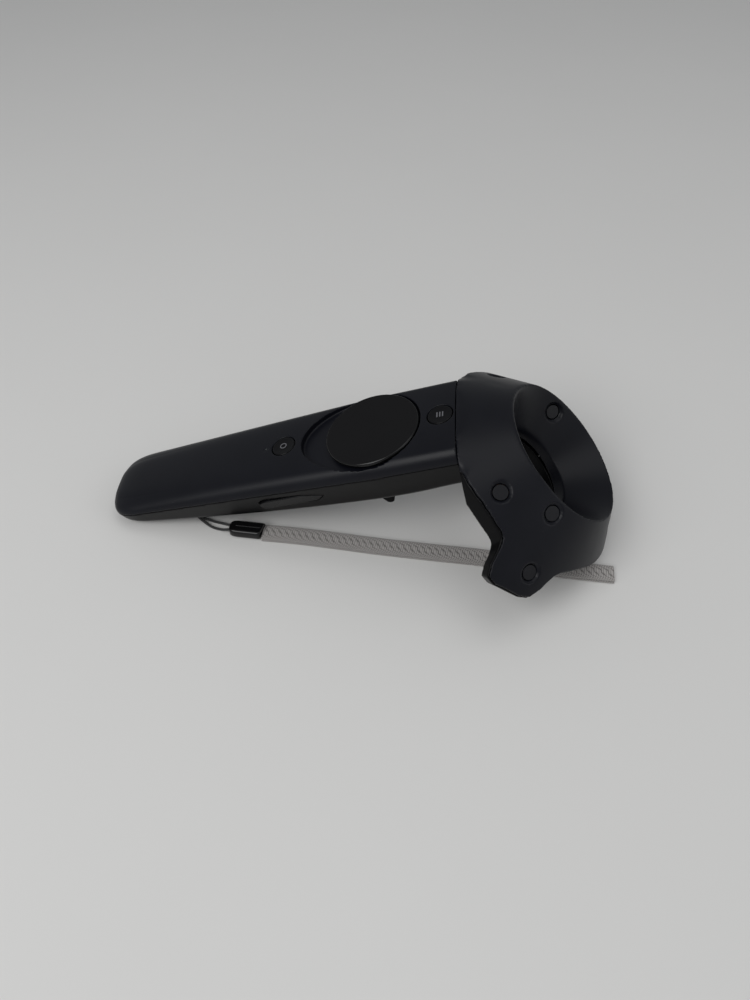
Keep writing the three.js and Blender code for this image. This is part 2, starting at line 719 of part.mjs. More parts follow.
// String: from the clasp to the bar, up in front of it, over it, down behind it and back to the clasp.
const STRING_ROUTE = [
  [-53.6, -15.6, 2.4], [-57.2, -14.3, 2.1], [-60.8, -12.9, 1.1], [-65.6, -11.6, 0.7], [-70.9, -9.6, 0.7],
  [-75.6, -5.3, 0.7], [-78.4, -1.6, 1.3], [-79.4, 0.3, 2.8], [-79.9, 0.7, 4.8], [-80.5, 0.7, 6.4],
  [-82, 0.2, 7.2], [-83.5, -0.6, 6.4], [-84, -0.9, 4.8], [-83.8, -1.2, 2.4], [-81.4, -2.4, 0.9],
  [-77.8, -5, 0.7], [-73.4, -9, 0.7], [-69.2, -12.4, 0.7], [-65, -15, 0.7], [-60.8, -16.4, 1.1],
  [-57.2, -17, 2.1], [-53.6, -17, 2.4],
];
const STRING_DIAMETER = 1.2;

// Strap: both layers of the doubled tape, from the clasp to the fold.
const STRAP_ROUTE = [
  [-41.4, -16.9, 1.2], [-32, -17.2, 1.2], [-21, -17.8, 1.2], [-6, -19, 1.2], [9, -20.3, 1.2], [23, -21.2, 1.2],
  [37, -22, 1.2], [51, -22.7, 1.2], [65, -23.8, 1.2], [79, -25.3, 1.2], [91, -26.5, 1.2], [102, -27.1, 1.2],
  [112, -27.6, 1.2],
];
const STRAP_WIDTH = 8;
const STRAP_THICKNESS = 2.1;

const CLASP = { x: -49, y: -16.6, length: 14.6, width: 7.4, height: 4.8, turn: THREE.MathUtils.degToRad(-3) };
const CLASP_SOCKET = { depth: 4.4, width: 5.2, height: 2.2, level: 2.4 };

const routeCurve = (route) => new THREE.CatmullRomCurve3(route.map((point) => new THREE.Vector3(...point)));

// Tube of an eight-sided section of the given width and height along a route.
function cordTube(route, width, height, steps) {
  const section = new THREE.Shape();
  const corner = Math.min(width, height) * 0.29;
  const x = height / 2;
  const y = width / 2;
  section.setFromPoints([
    [x, corner - y], [x, y - corner], [x - corner, y], [corner - x, y],
    [-x, y - corner], [-x, corner - y], [corner - x, -y], [x - corner, -y],
  ].map(([a, b]) => new THREE.Vector2(a, b)));
  return new THREE.ExtrudeGeometry(section, { steps, extrudePath: routeCurve(route), bevelEnabled: false });
}

// Moulded clasp with a socket for both ends of the string at its tail.
function clasp() {
  const { length, width, height } = CLASP;
  const shape = roundedOutline([
    [-length / 2, -width / 2, 2.6], [length / 2 - 1.2, -width / 2, 0.6],
    [length / 2, width / 2, 0.6], [-length / 2, width / 2, 2.6],
  ]);
  const body = solid(slab(shape, 0.1, height, 4));
  const { depth, level } = CLASP_SOCKET;
  const socket = solid(block(
    [-length / 2 - CUT, -CLASP_SOCKET.width / 2, level - CLASP_SOCKET.height / 2],
    [-length / 2 + depth, CLASP_SOCKET.width / 2, level + CLASP_SOCKET.height / 2],
  ));
  return drawable(body.subtract(socket)).rotateZ(CLASP.turn).translate(CLASP.x, CLASP.y, 0);
}

// ---------------------------------------------------------------- assembly

const grip = new THREE.Group();

function add(parent, name, geometry, finish) {
  const mesh = new THREE.Mesh(geometry, new THREE.MeshStandardMaterial(FINISH[finish]));
  mesh.name = name;
  parent.add(mesh);
  return mesh;
}

const gripCovers = gripShells();
add(grip, 'handle_top_shell', drawable(gripCovers.top), 'matteShell');
add(grip, 'handle_bottom_shell', drawable(gripCovers.bottom), 'satinShell');
const headCovers = headShells();
add(grip, 'head_upper_shell', drawable(headCovers.upper), 'matteShell');
add(grip, 'head_lower_shell', drawable(headCovers.lower), 'satinShell');

add(grip, 'trackpad', trackpadCap(), 'pad');
const buttonRise = (x) => gripSize(x, 0).top;
add(grip, 'system_button', buttonCap(), 'button').position.set(SYSTEM_X, 0, buttonRise(SYSTEM_X));
add(grip, 'menu_button', buttonCap(), 'button').position.set(MENU_X, 0, buttonRise(MENU_X));
add(grip, 'status_light', rod(LED.radius, BOARD.top + CLEARANCE, -0.2), 'light').position.set(LED.x, 0, 0);
add(grip, 'squeeze_button_left', squeezeButton(1), 'button');
add(grip, 'squeeze_button_right', squeezeButton(-1), 'button');

add(grip, 'trigger', triggerLever(), 'button');
add(grip, 'trigger_pin', rod(TRIGGER.pin, -PIN_HALF, PIN_HALF).rotateX(Math.PI / 2), 'steel')
  .position.set(TRIGGER.pivotX, 0, TRIGGER.pivotZ);
add(grip, 'trigger_spring', torsionSpring(), 'steel');

const panes = [...UPPER_WINDOWS, ...LOWER_WINDOWS].flatMap((place) => [[place, 1], [place, -1]]);
panes.forEach(([place, side], i) => {
  const name = `sensor_window_${String(i + 1).padStart(2, '0')}`;
  add(grip, name, windowPane().applyMatrix4(windowMatrix(place, side)), 'window');
});

add(grip, 'main_board', block(
  [BOARD.rear, -BOARD.halfWidth, BOARD.top - BOARD.thickness], [BOARD.front, BOARD.halfWidth, BOARD.top],
), 'board');
const switchTop = BOARD.top + 2.6 - BUTTON.travel - CLEARANCE;
for (const [name, x] of [['system_switch', SYSTEM_X], ['menu_switch', MENU_X], ['trackpad_switch', 0]]) {
  const top = x === 0 ? PAD_FOOT - PAD_BOARD - PAD.travel - 2 * CLEARANCE : switchTop;
  add(grip, name, block([x - 2.2, -2.2, BOARD.top + CLEARANCE], [x + 2.2, 2.2, top]), 'frame');
}
add(grip, 'trackpad_board', rod(
  PAD.stem - 0.6, PAD_FOOT - CLEARANCE - PAD_BOARD, PAD_FOOT - CLEARANCE, 32,
), 'board');
const squeezeMiddle = (SQUEEZE.rear + SQUEEZE.front) / 2;
for (const [name, side] of [['squeeze_switch_left', 1], ['squeeze_switch_right', -1]]) {
  const near = side > 0 ? SQUEEZE_SWITCH.inner : -SQUEEZE_SWITCH.outer;
  add(grip, name, block([squeezeMiddle - 2, near, SQUEEZE.z - 2], [
    squeezeMiddle + 2, near + SQUEEZE_SWITCH.outer - SQUEEZE_SWITCH.inner, SQUEEZE.z + 2,
  ]), 'frame');
}
add(grip, 'trigger_sensor', block(
  [TRIGGER.slotRear - 5, -3, TRIGGER.pivotZ - 4], [TRIGGER.slotRear - 2, 3, TRIGGER.pivotZ + 2],
), 'frame');
const cell = BOARD.top - BOARD.thickness - BATTERY.gap;
add(grip, 'battery', block(
  [BATTERY.rear, -BATTERY.halfWidth, cell - BATTERY.thickness], [BATTERY.front, BATTERY.halfWidth, cell],
), 'battery');
const motor = rod(HAPTIC.radius, -HAPTIC.halfLength, HAPTIC.halfLength).rotateX(Math.PI / 2);
add(grip, 'haptic_motor', motor, 'steel')
  .position.set(HAPTIC.x, 0, cell - HAPTIC.radius - CLEARANCE);
add(grip, 'usb_receptacle', usbReceptacle(), 'steel');
add(grip, 'lanyard_bar', lanyardBar(), 'steel');
screwPlaces().forEach((place, i) => add(grip, `shell_screw_${i + 1}`, screw(place), 'darkSteel'));

const frameTop = HEAD_FRAME.bottom + HEAD_FRAME.height;
add(grip, 'head_frame', ringPlate(HEAD_FRAME.inner, HEAD_FRAME.outer, HEAD_FRAME.bottom, frameTop), 'frame');
add(grip, 'sensor_flex', ringPlate(
  HEAD_FRAME.inner, HEAD_FRAME.outer - 1, frameTop + CLEARANCE, frameTop + CLEARANCE + HEAD_FRAME.flex,
), 'flex');

// The grip is tipped nose up and set down, with the origin under its middle.
const object = new THREE.Group();
const resting = new THREE.Group();
grip.rotation.y = -REST_PITCH;
resting.add(grip);
object.add(resting);
resting.updateMatrixWorld(true);
const box = new THREE.Box3().setFromObject(resting, true);
resting.position.set(-(box.min.x + box.max.x) / 2, 0, -box.min.z);

add(object, 'lanyard_string', cordTube(STRING_ROUTE, STRING_DIAMETER, STRING_DIAMETER, 40), 'cord');
add(object, 'lanyard_clasp', clasp(), 'clasp');
add(object, 'lanyard_strap', cordTube(STRAP_ROUTE, STRAP_WIDTH, STRAP_THICKNESS, 14), 'webbing');

export default object;
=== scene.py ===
"""Visual model of a hand-held motion controller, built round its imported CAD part."""

import logging
import math
from dataclasses import dataclass, field
from enum import Enum
from typing import Callable, Sequence

import bpy
import numpy as np
from mathutils import Matrix, Vector


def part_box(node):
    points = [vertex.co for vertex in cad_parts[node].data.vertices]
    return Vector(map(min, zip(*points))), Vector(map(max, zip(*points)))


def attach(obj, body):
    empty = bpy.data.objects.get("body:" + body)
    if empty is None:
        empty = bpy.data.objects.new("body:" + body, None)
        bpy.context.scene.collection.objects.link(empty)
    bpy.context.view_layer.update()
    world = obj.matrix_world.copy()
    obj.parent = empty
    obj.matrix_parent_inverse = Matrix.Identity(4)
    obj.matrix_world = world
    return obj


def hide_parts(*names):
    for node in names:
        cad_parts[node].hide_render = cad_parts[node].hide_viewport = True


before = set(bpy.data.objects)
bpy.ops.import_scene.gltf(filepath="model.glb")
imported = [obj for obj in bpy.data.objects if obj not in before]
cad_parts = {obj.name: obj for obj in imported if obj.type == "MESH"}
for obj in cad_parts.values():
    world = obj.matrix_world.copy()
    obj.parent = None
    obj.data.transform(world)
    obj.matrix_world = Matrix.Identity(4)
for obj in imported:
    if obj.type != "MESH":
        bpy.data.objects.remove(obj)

LOG = logging.getLogger("controller")
MM = 0.001
HOUSING = "housing"

Points = np.ndarray
Placer = Callable[[np.ndarray, np.ndarray], Points]
Pair = tuple[float, float]
Triple = tuple[float, float, float]
Colour = tuple[float, float, float]


# ------------------------------------------------------------------ places


@dataclass(frozen=True)
class Places:
    """Matrices from millimetres in each drawing frame to metres in the row frame."""

    pitch: float = math.radians(19.5)
    grip_origin: Triple = (5.969, 0.0, 53.420)

    def grip(self) -> Matrix:
        """Frame of the grip: x to the head along the top face, z up off it."""
        turn = Matrix.Rotation(-self.pitch, 4, "Y")
        return Matrix.Scale(MM, 4) @ Matrix.Translation(self.grip_origin) @ turn

    def table(self) -> Matrix:
        """Frame of the table, which is the row frame in millimetres."""
        return Matrix.Scale(MM, 4)


PLACES = Places()


# ------------------------------------------------------------------ modelling by hand


class Bench:
    """Blender's operators as short steps on one piece. Lengths are the drawing frame's."""

    @staticmethod
    def clear() -> None:
        """Leaves edit mode and deselects everything."""
        if bpy.context.mode != "OBJECT":
            bpy.ops.object.mode_set(mode="OBJECT")
        bpy.ops.object.select_all(action="DESELECT")

    @classmethod
    def hold(cls, obj: bpy.types.Object) -> bpy.types.Object:
        """Makes obj the only selected and the active object.

        Args:
            obj: The piece.

        Returns:
            The same piece.
        """
        cls.clear()
        obj.select_set(True)
        bpy.context.view_layer.objects.active = obj
        return obj

    @classmethod
    def named(cls, name: str) -> bpy.types.Object:
        """Names the primitive that was just added, and puts its place into its mesh.

        Args:
            name: The piece's name.

        Returns:
            The primitive.
        """
        obj = bpy.context.active_object
        obj.name = name
        obj.data.name = name
        bpy.ops.object.transform_apply(location=True, rotation=True, scale=True)
        return obj

    @classmethod
    def cube(cls, name: str, low: Triple, high: Triple) -> bpy.types.Object:
        """Box between two corners.

        Args:
            name: The piece's name.
            low: Lowest corner.
            high: Highest corner.

        Returns:
            The box.
        """
        cls.clear()
        middle = [(a + b) / 2 for a, b in zip(low, high)]
        bpy.ops.mesh.primitive_cube_add(size=1, location=middle)
        bpy.context.active_object.scale = [b - a for a, b in zip(low, high)]
        return cls.named(name)

    @classmethod
    def cylinder(
        cls, name: str, radius: float, bottom: float, top: float, sides: int = 64,
        at: Pair = (0.0, 0.0),
    ) -> bpy.types.Object:
        """Upright cylinder.

        Args:
            name: The piece's name.
            radius: Its radius.
            bottom: Level of its foot.
            top: Level of its top.
            sides: Number of sides.
            at: Its axis, across the drawing frame's floor.

        Returns:
            The cylinder.
        """
        cls.clear()
        bpy.ops.mesh.primitive_cone_add(
            vertices=sides,
            radius1=radius,
            radius2=radius,
            depth=top - bottom,
            location=(at[0], at[1], (top + bottom) / 2),
        )
        return cls.named(name)

    @classmethod
    def grid(cls, name: str, across: int, along: int, place: Placer) -> bpy.types.Object:
        """Grid primitive, shaped by a function of its two shares.

        Args:
            name: The piece's name.
            across: Faces in the first direction.
            along: Faces in the second direction.
            place: Gives points for arrays of shares from 0 to 1.

        Returns:
            The shaped object, its meeting edges merged, with the grid's own UV map.
        """
        cls.clear()
        bpy.ops.mesh.primitive_grid_add(x_subdivisions=across, y_subdivisions=along, size=1)
        obj = cls.named(name)
        co = np.empty(len(obj.data.vertices) * 3, np.float32)
        obj.data.vertices.foreach_get("co", co)
        flat = co.reshape(-1, 3).astype(float)
        shares = np.clip(flat[:, :2] + 0.5, 0, 1)
        obj.data.vertices.foreach_set(
            "co", place(shares[:, 0], shares[:, 1]).astype(np.float32).ravel()
        )
        obj.data.update()
        return cls.edit(obj, lambda: bpy.ops.mesh.remove_doubles(threshold=1e-4))

    @classmethod
    def edit(cls, obj: bpy.types.Object, *steps: Callable[[], object]) -> bpy.types.Object:
        """Runs edit-mode steps on the whole of obj.

        Args:
            obj: The piece.
            steps: What is done, in order.

        Returns:
            The same piece.
        """
        cls.hold(obj)
        bpy.ops.object.mode_set(mode="EDIT")
        bpy.ops.mesh.select_all(action="SELECT")
        for step in steps:
            step()
        bpy.ops.object.mode_set(mode="OBJECT")
        return obj

    @classmethod
    def outward(cls, obj: bpy.types.Object) -> bpy.types.Object:
        """Turns the faces outwards."""
        return cls.edit(obj, lambda: bpy.ops.mesh.normals_make_consistent(inside=False))

    @classmethod
    def modify(cls, obj: bpy.types.Object, kind: str, **settings: object) -> bpy.types.Object:
        """Adds a modifier with its settings and applies it.

        Args:
            obj: The piece.
            kind: The modifier's type.
            settings: The settings, by name.

        Returns:
            The same piece.
        """
        cls.hold(obj)
        modifier = obj.modifiers.new(kind.lower(), kind)
        for key, value in settings.items():
            setattr(modifier, key, value)
        bpy.ops.object.modifier_apply(modifier=modifier.name)
        return obj

    @classmethod
    def soften(
        cls, obj: bpy.types.Object, width: float, segments: int = 3, angle: float = 35.0,
        clamp: bool = True,
    ) -> bpy.types.Object:
        """Rounds every edge sharper than the angle.

        Args:
            obj: The piece.
            width: Width of the rounding.
            segments: Faces across the rounding.
            angle: Smallest angle that is rounded, in degrees.
            clamp: Whether neighbouring roundings stop each other.

        Returns:
            The same piece.
        """
        return cls.modify(
            obj, "BEVEL", width=width, segments=segments, limit_method="ANGLE",
            angle_limit=math.radians(angle), use_clamp_overlap=clamp, harden_normals=False,
        )

    @classmethod
    def joined(cls, parts: Sequence[bpy.types.Object]) -> bpy.types.Object:
        """Joins pieces into the first one.

        Args:
            parts: The pieces.

        Returns:
            The first piece, with the others in it.
        """
        cls.clear()
        for part in parts:
            part.select_set(True)
        bpy.context.view_layer.objects.active = parts[0]
        if len(parts) > 1:
            bpy.ops.object.join()
        return parts[0]

    @classmethod
    def boolean(
        cls, obj: bpy.types.Object, tools: Sequence[bpy.types.Object], operation: str,
    ) -> bpy.types.Object:
        """Adds or takes away closed tools, one after another, and removes them.

        Args:
            obj: The piece.
            tools: The closed tools.
            operation: UNION, DIFFERENCE or INTERSECT.

        Returns:
            The same piece.
        """
        for tool in tools:
            cls.modify(obj, "BOOLEAN", operation=operation, object=tool, solver="EXACT")
            bpy.data.meshes.remove(tool.data)
        return obj

    @classmethod
    def node_copy(cls, node: str, name: str, into: Matrix) -> bpy.types.Object:
        """Welded copy of a CAD node in a drawing frame, with its flat faces whole.

        Args:
            node: The CAD node.
            name: The piece's name.
            into: The drawing frame's matrix.

        Returns:
            The copy.
        """
        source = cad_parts[node]
        copy = bpy.data.objects.new(name, source.data.copy())
        bpy.context.scene.collection.objects.link(copy)
        copy.data.name = name
        copy.data.materials.clear()
        copy.data.transform(into.inverted())
        cls.edit(
            copy,
            lambda: bpy.ops.mesh.remove_doubles(threshold=1e-3),
            lambda: bpy.ops.mesh.dissolve_limited(angle_limit=math.radians(0.6)),
        )
        cls.hold(copy)
        if copy.data.has_custom_normals:
            bpy.ops.mesh.customdata_custom_splitnormals_clear()
        return copy

    @classmethod
    def shade(cls, obj: bpy.types.Object, angle: float = 32.0) -> bpy.types.Object:
        """Smooth shading, with edges sharper than the angle kept sharp.

        Args:
            obj: The piece.
            angle: Edges sharper than this, in degrees, stay sharp.

        Returns:
            The same piece.
        """
        cls.hold(obj)
        bpy.ops.object.shade_smooth_by_angle(angle=math.radians(angle))
        return obj


@dataclass
class Piece:
    """How a finished piece joins the frame."""

    body: str
    slot: str
    stands_for: Sequence[str] = ()

    def settle(
        self, obj: bpy.types.Object, place: Matrix, materials: Sequence[bpy.types.Material],
        angle: float = 32.0,
    ) -> bpy.types.Object:
        """Puts the piece in the row frame, shades and dresses it, and ties it to its body.

        Args:
            obj: The mesh in its drawing frame.
            place: The drawing frame's matrix.
            materials: Materials in the order of the mesh's slots.
            angle: Edges sharper than this, in degrees, stay sharp.

        Returns:
            The same object.
        """
        obj.data.transform(place)
        obj.data.update()
        Bench.shade(obj, angle)
        if angle < 90:
            Bench.modify(obj, "WEIGHTED_NORMAL", keep_sharp=True, weight=80)
        for i, material in enumerate(materials):
            if i < len(obj.data.materials):
                obj.data.materials[i] = material
            else:
                obj.data.materials.append(material)
        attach(obj, self.body)
        if self.stands_for:
            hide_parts(*self.stands_for)
        LOG.info("%s: %d faces", obj.name, len(obj.data.polygons))
        return obj


# ------------------------------------------------------------------ shader groups


class Wiring:
    """Places and links nodes in one tree."""

    def __init__(self, tree: bpy.types.NodeTree) -> None:
        """Empties the tree and keeps it."""
        self.tree = tree
        tree.nodes.clear()

    def add(self, kind: str, **settings: object) -> bpy.types.Node:
        """Node with its properties set.

        Args:
            kind: The node's type.
            settings: The node's properties.

        Returns:
            The node.
        """
        node = self.tree.nodes.new(kind)
        for key, value in settings.items():
            setattr(node, key, value)
        return node

    def link(self, source: bpy.types.NodeSocket, target: bpy.types.NodeSocket) -> None:
        """Link from an output to an input."""
        self.tree.links.new(source, target)

    def math(self, operation: str, a: object, b: object = None) -> bpy.types.NodeSocket:
        """Math node on sockets or numbers.

        Args:
            operation: The node's operation.
            a: First value.
            b: Second value, where the operation takes one.

        Returns:
            The result's socket.
        """
        node = self.add("ShaderNodeMath", operation=operation)
        for i, value in enumerate((a, b)):
            if isinstance(value, bpy.types.NodeSocket):
                self.link(value, node.inputs[i])
            elif value is not None:
                node.inputs[i].default_value = value
        return node.outputs[0]

    def noise(
        self, vector: bpy.types.NodeSocket, scale: object, detail: float = 2.0,
        roughness: float = 0.5,
    ) -> bpy.types.NodeSocket:
        """Noise texture's value.

        Args:
            vector: The coordinates.
            scale: Its scale, a number or a socket.
            detail: Its levels of detail.
            roughness: How strong each finer level is.

        Returns:
            The value's socket.
        """
        node = self.add("ShaderNodeTexNoise")
        self.link(vector, node.inputs["Vector"])
        if isinstance(scale, bpy.types.NodeSocket):
            self.link(scale, node.inputs["Scale"])
        else:
            node.inputs["Scale"].default_value = scale
        node.inputs["Detail"].default_value = detail
        node.inputs["Roughness"].default_value = roughness
        return node.outputs["Fac"]

    def remap(
        self, value: bpy.types.NodeSocket, source: Pair, target: Pair,
    ) -> bpy.types.NodeSocket:
        """Value taken from one range to another, held at its ends.

        Args:
            value: The value.
            source: The range it comes in.
            target: The range it goes to.

        Returns:
            The result's socket.
        """
        node = self.add("ShaderNodeMapRange")
        self.link(value, node.inputs["Value"])
        for name, number in zip(
            ("From Min", "From Max", "To Min", "To Max"), (*source, *target)
        ):
            node.inputs[name].default_value = number
        return node.outputs["Result"]

    def ramp(
        self, value: bpy.types.NodeSocket, stops: Sequence[tuple[float, Colour]],
    ) -> bpy.types.NodeSocket:
        """Colours along a value.

        Args:
            value: The value.
            stops: Position and colour of each stop.

        Returns:
            The colour's socket.
        """
        node = self.add("ShaderNodeValToRGB")
        self.link(value, node.inputs["Fac"])
        elements = node.color_ramp.elements
        while len(elements) < len(stops):
            elements.new(0.5)
        for element, (position, colour) in zip(elements, stops):
            element.position = position
            element.color = (*colour, 1.0)
        return node.outputs["Color"]


class Effects:
    """Shader node groups that several materials share, each built once."""

    built: dict[str, bpy.types.NodeTree] = {}

    @classmethod
    def open(
        cls, name: str, inputs: Sequence[tuple[str, str, object]], outputs: Sequence[str],
    ) -> tuple[Wiring, bpy.types.Node, bpy.types.Node]:
        """New group with named sockets.

        Args:
            name: The group's name.
            inputs: Name, socket type and default of each input.
            outputs: Names of the value outputs.

        Returns:
            The group's wiring, its input node and its output node.
        """
        tree = bpy.data.node_groups.new(name, "ShaderNodeTree")
        for label, kind, default in inputs:
            socket = tree.interface.new_socket(label, in_out="INPUT", socket_type=kind)
            if default is not None:
                socket.default_value = default
        for label in outputs:
            tree.interface.new_socket(label, in_out="OUTPUT", socket_type="NodeSocketFloat")
        cls.built[name] = tree
        wiring = Wiring(tree)
        return wiring, wiring.add("NodeGroupInput"), wiring.add("NodeGroupOutput")

    @classmethod
    def moulded_grain(cls) -> bpy.types.NodeTree:
        """Fine texture of a moulded skin: Height, and Shade for slow unevenness.

        Returns:
            The group's tree.
        """
        if "moulded_grain" in cls.built:
            return cls.built["moulded_grain"]
        w, start, end = cls.open(
            "moulded_grain",
            [
                ("Position", "NodeSocketVector", None),
                ("Grain Scale", "NodeSocketFloat", 2500.0),
                ("Patch Scale", "NodeSocketFloat", 45.0),
            ],
            ("Height", "Shade"),
        )
        position = start.outputs["Position"]
        fine = w.noise(position, start.outputs["Grain Scale"], 2.0, 0.55)
        patch = w.noise(position, start.outputs["Patch Scale"], 4.0, 0.6)
        w.link(fine, end.inputs["Height"])
        w.link(w.remap(patch, (0.3, 0.7), (0.0, 1.0)), end.inputs["Shade"])
        return cls.built["moulded_grain"]

    @classmethod
    def dust(cls) -> bpy.types.NodeTree:
        """Scattered specks of dust and lint: Mask.

        Returns:
            The group's tree.
        """
        if "dust" in cls.built:
            return cls.built["dust"]
        w, start, end = cls.open(
            "dust",
            [("Position", "NodeSocketVector", None), ("Amount", "NodeSocketFloat", 0.5)],
            ("Mask",),
        )
        position = start.outputs["Position"]
        cells = w.add("ShaderNodeTexVoronoi")
        cells.inputs["Scale"].default_value = 420.0
        cells.inputs["Randomness"].default_value = 1.0
        w.link(position, cells.inputs["Vector"])
        size = w.noise(position, 90.0, 2.0)
        limit = w.math("MULTIPLY", w.remap(size, (0.56, 0.8), (0.0, 0.16)), start.outputs["Amount"])
        near = w.math("LESS_THAN", cells.outputs["Distance"], limit)
        w.link(near, end.inputs["Mask"])
        return cls.built["dust"]

    @classmethod
    def scuffs(cls) -> bpy.types.NodeTree:
        """Short fine rubs along the grip: Mask.

        Returns:
            The group's tree.
        """
        if "scuffs" in cls.built:
            return cls.built["scuffs"]
        w, start, end = cls.open(
            "scuffs",
            [("Position", "NodeSocketVector", None), ("Amount", "NodeSocketFloat", 0.5)],
            ("Mask",),
        )
        stretch = w.add("ShaderNodeMapping")
        stretch.inputs["Rotation"].default_value = (0.2, 0.5, 0.7)
        stretch.inputs["Scale"].default_value = (60.0, 900.0, 300.0)
        w.link(start.outputs["Position"], stretch.inputs["Vector"])
        lines = w.remap(w.noise(stretch.outputs["Vector"], 1.0, 3.0, 0.6), (0.68, 0.8), (0.0, 1.0))
        where = w.remap(w.noise(start.outputs["Position"], 38.0, 3.0), (0.55, 0.75), (0.0, 1.0))
        mask = w.math("MULTIPLY", w.math("MULTIPLY", lines, where), start.outputs["Amount"])
        w.link(mask, end.inputs["Mask"])
        return cls.built["scuffs"]

    @classmethod
    def threads(cls) -> bpy.types.NodeTree:
        """Crossing yarns on a UV map in yarn counts: Height, and Shade of each yarn.

        Returns:
            The group's tree.
        """
        if "threads" in cls.built:
            return cls.built["threads"]
        w, start, end = cls.open(
            "threads",
            [
                ("Along", "NodeSocketFloat", 0.0),
                ("Across", "NodeSocketFloat", 0.0),
                ("Slant", "NodeSocketFloat", 0.0),
            ],
            ("Height", "Shade"),
        )
        along = w.math(
            "ADD", start.outputs["Along"],
            w.math("MULTIPLY", start.outputs["Across"], start.outputs["Slant"]),
        )
        across = w.math(
            "SUBTRACT", start.outputs["Across"],
            w.math("MULTIPLY", start.outputs["Along"], start.outputs["Slant"]),
        )
        turn = 2 * math.pi
        warp = w.math("ABSOLUTE", w.math("SINE", w.math("MULTIPLY", across, turn / 2)))
        weft = w.math("ABSOLUTE", w.math("SINE", w.math("MULTIPLY", along, turn / 2)))
        over = w.math(
            "SINE",
            w.math(
                "MULTIPLY",
                w.math("ADD", w.math("FLOOR", across), w.math("FLOOR", along)),
                turn / 2,
            ),
        )
        flip = w.math(
            "MODULO", w.math("ADD", w.math("FLOOR", across), w.math("FLOOR", along)), 2.0
        )
        mixed = w.math(
            "ADD",
            w.math("MULTIPLY", warp, w.math("ABSOLUTE", flip)),
            w.math("MULTIPLY", weft, w.math("SUBTRACT", 1.0, w.math("ABSOLUTE", flip))),
        )
        w.link(w.math("ADD", mixed, w.math("MULTIPLY", over, 0.02)), end.inputs["Height"])
        w.link(w.math("MULTIPLY", warp, weft), end.inputs["Shade"])
        return cls.built["threads"]


# ------------------------------------------------------------------ finishes


class Finish:
    """A material with its Principled shader and the groups that feed it."""

    def __init__(self, name: str) -> None:
        """Starts an empty material of that name.

        Args:
            name: The material's name.
        """
        self.material = bpy.data.materials.new(name)
        self.material.use_nodes = True
        self.w = Wiring(self.material.node_tree)
        self.shader = self.w.add("ShaderNodeBsdfPrincipled")
        out = self.w.add("ShaderNodeOutputMaterial")
        self.w.link(self.shader.outputs["BSDF"], out.inputs["Surface"])
        self.position = self.w.add("ShaderNodeTexCoord").outputs["Object"]

    def set(self, **values: object) -> "Finish":
        """Sets the shader's own sockets; an underscore stands for a blank.

        Args:
            values: The values, by name.

        Returns:
            The finish.
        """
        for key, value in values.items():
            socket = self.shader.inputs[key.replace("_", " ")]
            socket.default_value = (*value, 1.0) if isinstance(value, tuple) else value
        return self

    def group(self, tree: bpy.types.NodeTree, **values: object) -> bpy.types.Node:
        """Places a shared group with its own values, on Object coordinates if it takes them.

        Args:
            tree: The group.
            values: Values or sockets for the group's inputs.

        Returns:
            The group's node.
        """
        node = self.w.add("ShaderNodeGroup", node_tree=tree)
        if "Position" in node.inputs:
            self.w.link(self.position, node.inputs["Position"])
        for key, value in values.items():
            socket = node.inputs[key.replace("_", " ")]
            if isinstance(value, bpy.types.NodeSocket):
                self.w.link(value, socket)
            else:
                socket.default_value = value
        return node

    def bump(self, height: bpy.types.NodeSocket, depth_mm: float, strength: float) -> None:
        """Adds relief of the given depth to the surface.

        Args:
            height: The relief.
            depth_mm: Its depth, in millimetres.
            strength: How strongly it shows.
        """
        node = self.w.add("ShaderNodeBump")
        node.inputs["Strength"].default_value = strength
        node.inputs["Distance"].default_value = depth_mm * MM
        self.w.link(height, node.inputs["Height"])
        self.w.link(node.outputs["Normal"], self.shader.inputs["Normal"])

    def mix(
        self, mask: bpy.types.NodeSocket, base: bpy.types.NodeSocket, over: Colour,
    ) -> bpy.types.NodeSocket:
        """Colour laid over another through a mask.

        Args:
            mask: Where the upper colour lies.
            base: The lower colour.
            over: The upper colour.

        Returns:
            The colour's socket.
        """
        node = self.w.add("ShaderNodeMix", data_type="RGBA")
        self.w.link(mask, node.inputs["Factor"])
        self.w.link(base, node.inputs[6])
        node.inputs[7].default_value = (*over, 1.0)
        return node.outputs[2]


